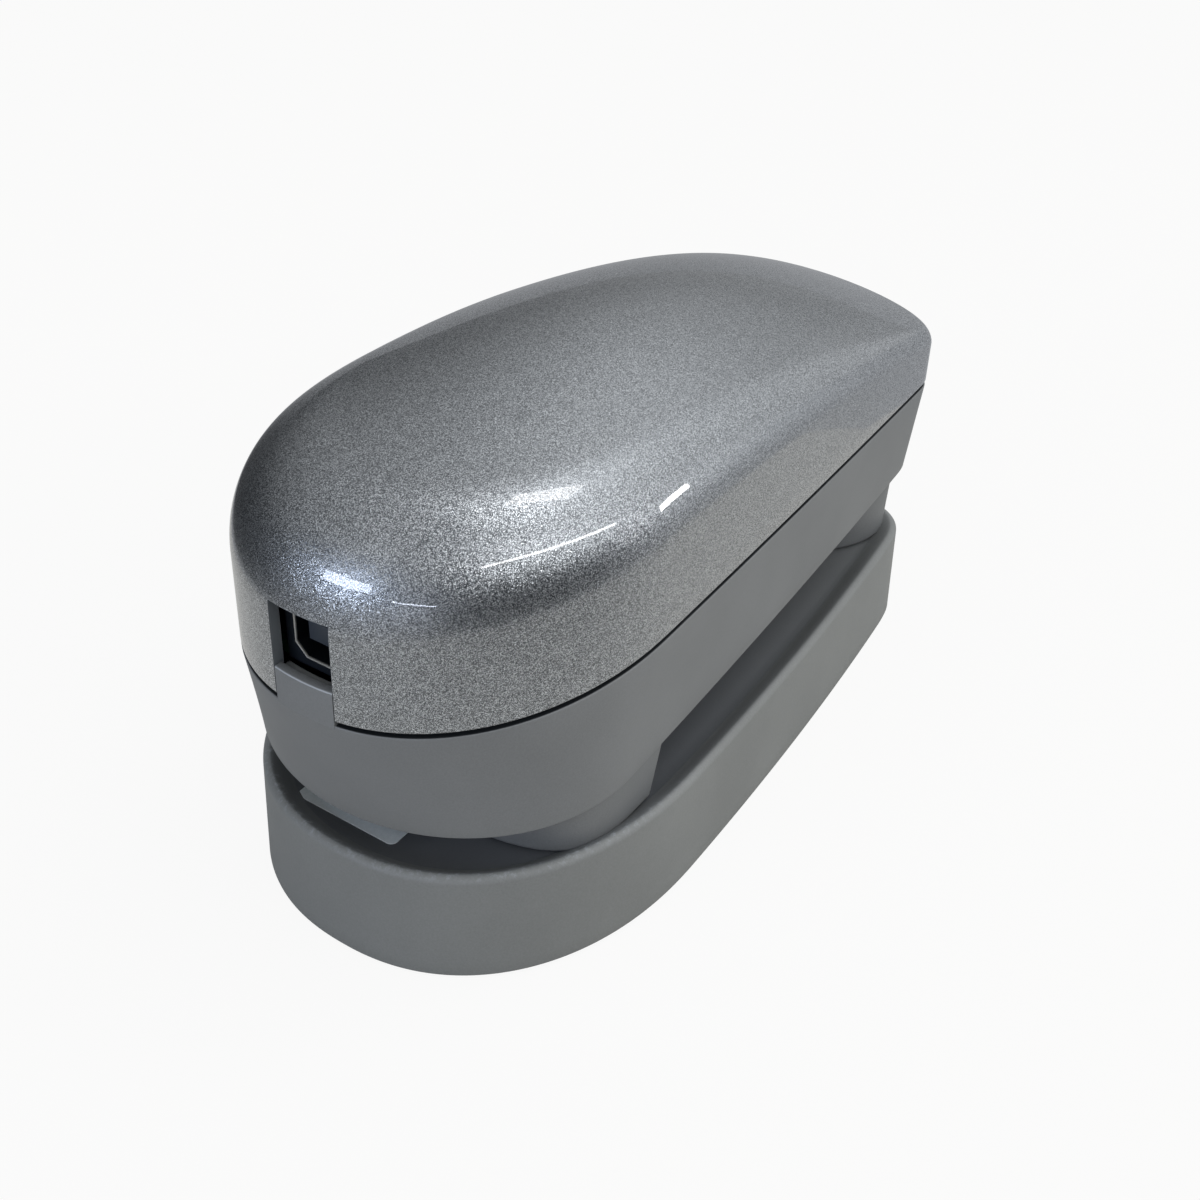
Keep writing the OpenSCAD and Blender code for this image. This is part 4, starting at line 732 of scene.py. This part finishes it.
def make_housing():
    """One grid from the rounded lip up the drafted band, over its edge to the tongue and down inside, with the
    stretch round the button, the underside and the socket tab as further grids."""
    lip_r, top_r = 0.4, 0.3
    o = outline(SEAM)
    rounded = np.where((np.abs(o[:, 1]) < NOTCH_HALF) & (o[:, 0] < 0), 0.0, 1.0)[:, None]
    tall = (seam_z(o[:, 0]) - lip_z(outline(LIP)[:, 0]))[:, None]
    rows = [band_ring(lip_r * (1 - math.cos(a)) / tall, lip_r * (1 - math.sin(a))) for a in EDGE_ANGLES]
    straight = ruled(lip_r / tall, 1 - top_r / tall, 7)
    rows += [band_ring(s, 0.0) for s in straight[1:]]
    for a in EDGE_ANGLES[1:]:
        share = 1 - top_r * (1 - math.sin(a)) / tall
        rows.append(mix(band_ring(share, 0.0), band_ring(share, top_r * (1 - math.cos(a))), rounded))
    tongue_in, tongue_h, floor_t, spine_rear, spine_front = 1.1, 3.0, 2.2, -40.0, 60.0
    rows += [above_seam(inset(SEAM, tongue_in), 0.0), above_seam(inset(SEAM, tongue_in), tongue_h),
             above_seam(inset(SEAM, HOUSING_T), tongue_h)]
    p = inset(LIP, HOUSING_T)
    floor_ring = at_height(outline(p), lip_z(outline(p)[:, 0]) + floor_t)
    spine = np.stack([np.clip(floor_ring[:, 0], spine_rear, spine_front), 0 * floor_ring[:, 1]], 1)
    rows += [floor_ring, at_height(spine, lip_z(spine[:, 0]) + floor_t)]
    points, faces = patch(rows)
    count = len(o)
    first, last = (count - len(REAR_ANGLES) - k for k in BUTTON_SPAN[::-1])
    row, column = faces[:, 0] // count, faces[:, 0] % count
    low_row = len(EDGE_ANGLES) - 1
    high_row = low_row + len(straight) - 1
    cut = (row >= low_row) & (row < high_row) & (column >= first) & (column < last)
    patches = [(points, faces[~cut]), button_hole(lip_r, top_r), socket_tab()] + underside(lip_r)
    piece("housing_shell", patches, "instrument", HOUSING_ABS, ["lower_housing"])


def lower_edge(p, low, r, angles):
    """Rows round the rounded lower edge of a plan."""
    return [level(inset(p, r - r * math.sin(a)), low + r - r * math.cos(a)) for a in np.radians(angles)]


def axis_circle(p, radius):
    """A circle round the optical axis, with a point towards each point of a plan's outline."""
    away = outline(p) - [AXIS_X, 0]
    return [AXIS_X, 0] + radius * away / np.linalg.norm(away, axis=1)[:, None]


def make_foot(name, p, lean, hole, node):
    """A foot under the lip: rounded lower edge, straight wall, and a top that leans forward with a smooth share
    of the length. Its underside runs in to a round hole, or to its middle line."""
    low, r, tuck, bore_h = FOOT_Z + 0.3, 0.8, 0.05, 1.0
    middle_rear, middle_front = p.rear + 8, p.front - 3
    o = outline(p)
    share = np.clip((o[:, 0] - p.rear) / (p.front - p.rear), 0, 1)
    x = o[:, 0] + lean * share * share * (3 - 2 * share)
    top = np.stack([x, o[:, 1], lip_z(x) + tuck], 1)
    edge = outline(inset(p, r))
    if hole:
        rim = axis_circle(inset(p, r), hole)
        rows = [at_height(rim, low + bore_h)] + ruled(at_height(rim, low), at_height(edge, low), 12)
    else:
        middle = np.stack([np.clip(edge[:, 0], middle_rear, middle_front), 0 * edge[:, 1]], 1)
        rows = ruled(at_height(middle, low), at_height(edge, low), 12)
    rows += lower_edge(p, low, r, np.arange(15, 91, 15))
    rows += ruled(rows[-1], top, 10)[1:]
    piece(name, [patch(rows)], "instrument", HOUSING_ABS, [node], outward=False)


def make_base():
    """One grid from the underside down the inner wall, round the lower edge, up the drafted wall, over the
    rounded rim, down the sloping edge and over the tray floor in rays to the recess of the tile ring."""
    low, wall, rim_r, rim_flat, slope, draft, foot_r = 0.5, 2.5, 1.2, 0.1, 3.4, 0.5, 0.5
    bottom = inset(RIM, -draft)
    recess_r, ring_t, tile_r, tile_t = 12.15, 1.0, 9.15, 4.0
    well_r, floor_z = 11.6, FOOT_Z - 2.5
    inner = inset(RIM, wall)
    rows = ruled(at_height(axis_circle(inner, well_r), floor_z), level(inner, floor_z), 4)
    rows += [level(inset(bottom, wall), low)]
    rows += lower_edge(bottom, low, foot_r, [0, 30, 60, 90])
    rows += ruled(level(bottom, low + foot_r), level(RIM, BASE_H - rim_r), 8)[1:]
    rows += [level(inset(RIM, rim_r - rim_r * math.cos(a)), BASE_H - rim_r + rim_r * math.sin(a))
             for a in np.radians(np.arange(9, 91, 9))]
    rows += [level(inset(RIM, rim_r + rim_flat), BASE_H)]
    start, fall = rim_r + rim_flat, BASE_H - FOOT_Z
    for k in np.linspace(0, 1, 9)[1:]:
        rows.append(level(inset(RIM, start + slope * k), BASE_H - fall * mix(k, k * k * (3 - 2 * k), 0.4)))
    edge = inset(RIM, start + slope)
    recess, tile = axis_circle(edge, recess_r), axis_circle(edge, tile_r)
    rows += ruled(level(edge, FOOT_Z), at_height(recess, FOOT_Z), 16)[1:]
    rows += [at_height(recess, FOOT_Z - ring_t), at_height(tile, FOOT_Z - ring_t),
             at_height(tile, FOOT_Z - ring_t - tile_t)]
    piece("base_tray", [patch(rows)], "base", BASE_ABS, ["base_shell"], outward=False)


def at_button(xz, y):
    """Points about the axis of the button, at a place along it."""
    return np.stack([BUTTON_X + xz[:, 0], np.full(len(xz), y), BUTTON_Z + xz[:, 1]], 1)


def make_button():
    """Thumb button: round-ended rings along +Y, from the stem side over the flange and the upright wall to a
    rounded edge and a slightly crowned face, and the round stem that stands in the flange."""
    flange_out, rim, rim_t, edge_r, crown = 29.96, 1.3, 1.5, 0.5, 0.12

    def ring(grow, y):
        return at_button(stadium(BUTTON_L + 2 * grow, BUTTON_H + 2 * grow), y)

    def spine(y):
        x = stadium(BUTTON_L, BUTTON_H)[:, 0]
        half = BUTTON_L / 2 - BUTTON_H / 2
        return at_button(np.stack([np.clip(x, -half, half), 0 * x], 1), y)

    back = flange_out - rim_t
    rows = [spine(back), ring(rim, back), ring(rim, flange_out), ring(0, flange_out)]
    rows += ruled(ring(0, flange_out), ring(0, BUTTON_FACE_Y - crown - edge_r), 4)[1:]
    rows += [ring(-edge_r * (1 - math.cos(a)), BUTTON_FACE_Y - crown - edge_r + edge_r * math.sin(a))
             for a in np.radians(np.arange(15, 91, 15))]
    edge, middle = rows[-1], spine(BUTTON_FACE_Y)
    for k in np.linspace(0, 1, 9)[1:]:
        row = mix(edge, middle, k)
        row[:, 1] = BUTTON_FACE_Y - crown * (1 - k) ** 2
        rows.append(row)
    stem_r, stem_edge, sunk = 2.0, 0.2, 0.5
    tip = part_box("measure_button")[0][1] / MM
    a = np.radians(np.arange(0, 360, 10.0))
    circle = np.stack([np.cos(a), np.sin(a)], 1)
    stem = [at_button(r * circle, y) for r, y in [(0.0, tip), (stem_r - stem_edge, tip), (stem_r, tip + stem_edge),
                                                  (stem_r, back + sunk), (0.0, back + sunk)]]
    piece("thumb_button", [patch(rows), patch(stem)], "button", BUTTON_ABS, ["measure_button"])


def make_spring():
    """Spring behind the button: a round wire carried along a helix from the switch board to the flange, closed by
    a point at each end."""
    coil_r, wire_r, turns, turn_steps, travel = 5.15, 0.25, 4, 48, 0.8
    low, high = (corner[1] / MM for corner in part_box("button_spring"))
    share = np.linspace(0, 1, turns * turn_steps + 1)[:, None]
    a, b = 2 * math.pi * turns * share, np.radians(np.arange(0, 360, 30.0))
    r = coil_r + wire_r * np.cos(b)
    y = mix(low + wire_r, high - wire_r, share) + wire_r * np.sin(b)
    wire = np.stack([BUTTON_X + r * np.cos(a), y, BUTTON_Z - r * np.sin(a)], -1)
    tips = [np.broadcast_to(ring.mean(0), ring.shape) for ring in (wire[0], wire[-1])]
    made = piece("return_spring", [patch([tips[0], *wire, tips[1]])], "instrument", SPRING_STEEL,
                 ["button_spring"])
    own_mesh(made)


def make_label():
    """Bare film label on the tray floor: rings of a rounded rectangle, with a rounded upper edge."""
    x1, x2, y1, y2, corner, thick, soft = -64.6, -47.6, -5.3, 15.0, 1.2, 0.12, 0.04
    a = np.radians(np.arange(0, 360, 5.0))
    cx, cy = np.sign(np.cos(a)) * ((x2 - x1) / 2 - corner), np.sign(np.sin(a)) * ((y2 - y1) / 2 - corner)

    def ring(shrink, z):
        r = corner - shrink
        xy = np.stack([(x1 + x2) / 2 + cx + r * np.cos(a), (y1 + y2) / 2 + cy + r * np.sin(a)], 1)
        return at_height(xy, FOOT_Z + z)

    middle = at_height(np.broadcast_to([(x1 + x2) / 2, (y1 + y2) / 2], (len(a), 2)), FOOT_Z + thick)
    rows = [middle - [0, 0, thick], ring(0, 0.0), ring(0, thick - soft), ring(soft, thick), middle]
    piece("tray_label", [patch(rows)], "base", LABEL_FILM)


make_cover()
make_housing()
make_foot("rear_foot_block", REAR_FOOT, 3.5, None, "rear_foot")
make_foot("head_block", HEAD, 2.0, 11.15, "measuring_head")
make_base()
make_button()
make_spring()
make_label()


# Camera, floor and light
def place_camera():
    """Camera that looks at a point over the middle of the base from an azimuth, an elevation and a roll."""
    azimuth, elevation, roll = map(math.radians, (-57.5, 31.6, 2.06))
    aim, distance = Vector((0, 0, 0.045)), 0.26715
    frame_px, middle_px = 1200, 513
    back = Vector((math.sin(azimuth) * math.cos(elevation), -math.cos(azimuth) * math.cos(elevation),
                   math.sin(elevation)))
    right = Vector((math.cos(azimuth), math.sin(azimuth), 0))
    up = back.cross(right)
    turned = right * math.cos(roll) + up * math.sin(roll)
    upright = up * math.cos(roll) - right * math.sin(roll)
    data = bpy.data.cameras.new("photo_view")
    data.sensor_width = 36.0
    data.lens = 45.0
    data.shift_y = (middle_px - frame_px / 2) / frame_px
    data.clip_start = 0.005
    made = put("photo_view", data)
    turn = Matrix((turned, upright, back)).transposed().to_4x4()
    made.matrix_world = Matrix.Translation(aim + back * distance) @ turn
    bpy.context.scene.camera = made


def pale_floor():
    """White floor that keeps the soft shadow; to camera, mirror and glass rays it is mostly plain white."""
    size, camera_part, mirror_part = 3.0, 0.72, 0.2
    mesh = bpy.data.meshes.new("floor")
    mesh.from_pydata([(-size, -size, 0), (size, -size, 0), (size, size, 0), (-size, size, 0)], [], [(0, 1, 2, 3)])
    made = put("floor", mesh)
    finish, tree = new_finish("floor_paper_white")[:2]
    rays = add(tree, "LightPath")
    seen = add(tree, "Math", {0: rays.outputs["Is Camera Ray"], 1: rays.outputs["Is Glossy Ray"]},
               operation="MAXIMUM")
    plain = add(tree, "Math", {0: seen, 1: rays.outputs["Is Transmission Ray"]}, operation="MAXIMUM")
    mirrored = add(tree, "Math", {0: plain, 1: mirror_part}, operation="MULTIPLY")
    part = add(tree, "Math", {0: rays.outputs["Is Camera Ray"], 1: camera_part, 2: mirrored},
               operation="MULTIPLY_ADD")
    paper = add(tree, "BsdfDiffuse", {"Color": linear("#bfbdb7")})
    white = add(tree, "Emission", {"Color": (1.0, 1.0, 1.0, 1.0), "Strength": 1.0})
    both = add(tree, "MixShader", {0: part, 1: paper, 2: white})
    add(tree, "OutputMaterial", {"Surface": both})
    mesh.materials.append(finish)


def dim_surround():
    """Dim oval wall round the base that only the gloss shows, as the lower part of the room: as pale as the floor
    at its foot, dark across the instrument and on the far side, and paler towards both ends."""
    half_l, half_w, middle_x, near_h, far_h = 0.185, 0.15, -0.025, 0.07, 0.095
    foot_h, foot_level = 0.018, 0.5
    levels = [(0.0, 0.7), (0.19, 0.13), (0.4, 0.05), (0.55, 0.08), (0.77, 0.55), (0.9, 0.55), (1.0, 0.5)]
    a = np.radians(np.arange(0, 360, 4.0))
    oval = np.stack([middle_x + half_l * np.cos(a), half_w * np.sin(a)], 1)
    top = mix(near_h, far_h, 0.5 + 0.5 * np.sin(a))
    points, faces = patch([at_height(oval, 0.0), at_height(oval, top)])
    mesh = bpy.data.meshes.new("dim_surround")
    mesh.from_pydata(points.tolist(), [], faces.tolist())
    made = put("dim_surround", mesh)
    finish, tree, where = new_finish("surround_grey_paper")
    place = add(tree, "SeparateXYZ", {"Vector": where})
    along = add(tree, "MapRange", {"Value": place.outputs["X"], "From Min": middle_x - half_l,
                                   "From Max": middle_x + half_l})
    pale = add(tree, "ValToRGB", {"Fac": along})
    pale.color_ramp.interpolation = "EASE"
    stops = pale.color_ramp.elements
    for k, (share, grey) in enumerate(levels):
        stop = stops[k] if k < 2 else stops.new(share)
        stop.position, stop.color = share, (grey, grey, grey, 1.0)
    far = add(tree, "MapRange", {"Value": place.outputs["Y"], "From Min": -0.03, "From Max": 0.07,
                                 "To Min": 1.0, "To Max": 0.65})
    wall = add(tree, "Math", {0: pale, 1: far}, operation="MULTIPLY")
    rise = add(tree, "MapRange", {"Value": place.outputs["Z"], "From Max": foot_h, "To Min": foot_level,
                                  "To Max": wall}, interpolation_type="SMOOTHSTEP")
    paper = add(tree, "Emission", {"Color": linear("#f0f3f8"), "Strength": rise})
    add(tree, "OutputMaterial", {"Surface": paper})
    mesh.materials.append(finish)
    made.visible_camera = made.visible_diffuse = made.visible_shadow = made.visible_transmission = False


def lamp(name, toward, along, size, bright, colour="#ffffff"):
    """Soft rectangular lamp at a distance from the middle of the cover in the direction toward, with its longer
    side in the direction along. At bright 1 it is as pale as white paper; watts are pi times bright and area."""
    middle, distance = Vector((0, 0, 0.07)), 0.8
    data = bpy.data.lights.new(name, "AREA")
    data.shape = "RECTANGLE"
    data.size, data.size_y = size
    data.energy = bright * math.pi * size[0] * size[1]
    data.color = linear(colour)[:3]
    made = put(name, data)
    back = Vector(toward).normalized()
    upright = back.cross(Vector(along)).normalized()
    turn = Matrix((upright.cross(back), upright, back)).transposed().to_4x4()
    made.matrix_world = Matrix.Translation(middle + back * distance) @ turn
    made.visible_camera = False


def room_light():
    """World: a room that is dim at the horizon and on the far side and brighter towards its ceiling and the +X end.
    Pale places with smooth edges are added: a wall on the -Y side, a low corner at the +X end and a ceiling panel."""
    pale_places = [((0.3, -0.68, 0.67), 0.7, 0.98, 0.8), ((0.85, -0.53, 0.0), 0.76, 0.97, 0.5),
                   ((0.5, -0.1, 0.86), 0.8, 0.97, 0.35)]
    world = bpy.data.worlds.new("studio")
    bpy.context.scene.world = world
    world.use_nodes = True
    tree = world.node_tree
    tree.nodes.clear()
    where = add(tree, "TexCoord").outputs["Object"]
    place = add(tree, "SeparateXYZ", {"Vector": where})
    climb = add(tree, "MapRange", {"Value": place.outputs["Z"], "From Min": 0.2, "From Max": 0.65,
                                   "To Min": 0.1, "To Max": 0.75})
    far = add(tree, "MapRange", {"Value": place.outputs["Y"], "From Min": 0.3, "From Max": 0.8,
                                 "To Min": 1.0, "To Max": 0.5})
    end = add(tree, "MapRange", {"Value": place.outputs["X"], "From Min": 0.55, "From Max": 0.95,
                                 "To Min": 0.0, "To Max": 0.22}, interpolation_type="SMOOTHSTEP")
    glows = add(tree, "Math", {0: climb, 1: far, 2: end}, operation="MULTIPLY_ADD")
    for toward, edge, full, gain in pale_places:
        near = add(tree, "VectorMath", {0: where, 1: Vector(toward).normalized()}, operation="DOT_PRODUCT")
        glow = add(tree, "MapRange", {"Value": near.outputs["Value"], "From Min": edge, "From Max": full,
                                      "To Min": 0.0, "To Max": gain}, interpolation_type="SMOOTHSTEP")
        glows = add(tree, "Math", {0: glows, 1: glow}, operation="ADD")
    ground = add(tree, "Background", {"Color": linear("#f5f7f9"), "Strength": glows})
    add(tree, "OutputWorld", {"Surface": ground})


place_camera()
pale_floor()
dim_surround()
room_light()
lamp("side_window", (-0.94, 0.198, 0.27), (-0.19, -0.98, 0.03), (0.36, 0.1), 14.0, "#dce8ff")
lamp("side_slat", (-0.902, -0.418, 0.107), (0.39, -0.9, -0.2), (0.32, 0.014), 18.0, "#e6eeff")
lamp("long_strip", (-0.002, -0.889, 0.459), (0.96, -0.13, -0.26), (0.86, 0.03), 16.0)
lamp("ceiling_soft", (0.36, -0.27, 0.89), (0.52, -0.76, -0.39), (0.31, 0.14), 6.0)
lamp("front_window", (0.69, -0.723, 0.025), (0.72, 0.69, 0.0), (0.07, 0.08), 20.0)

bpy.context.scene.view_settings.view_transform = "Standard"
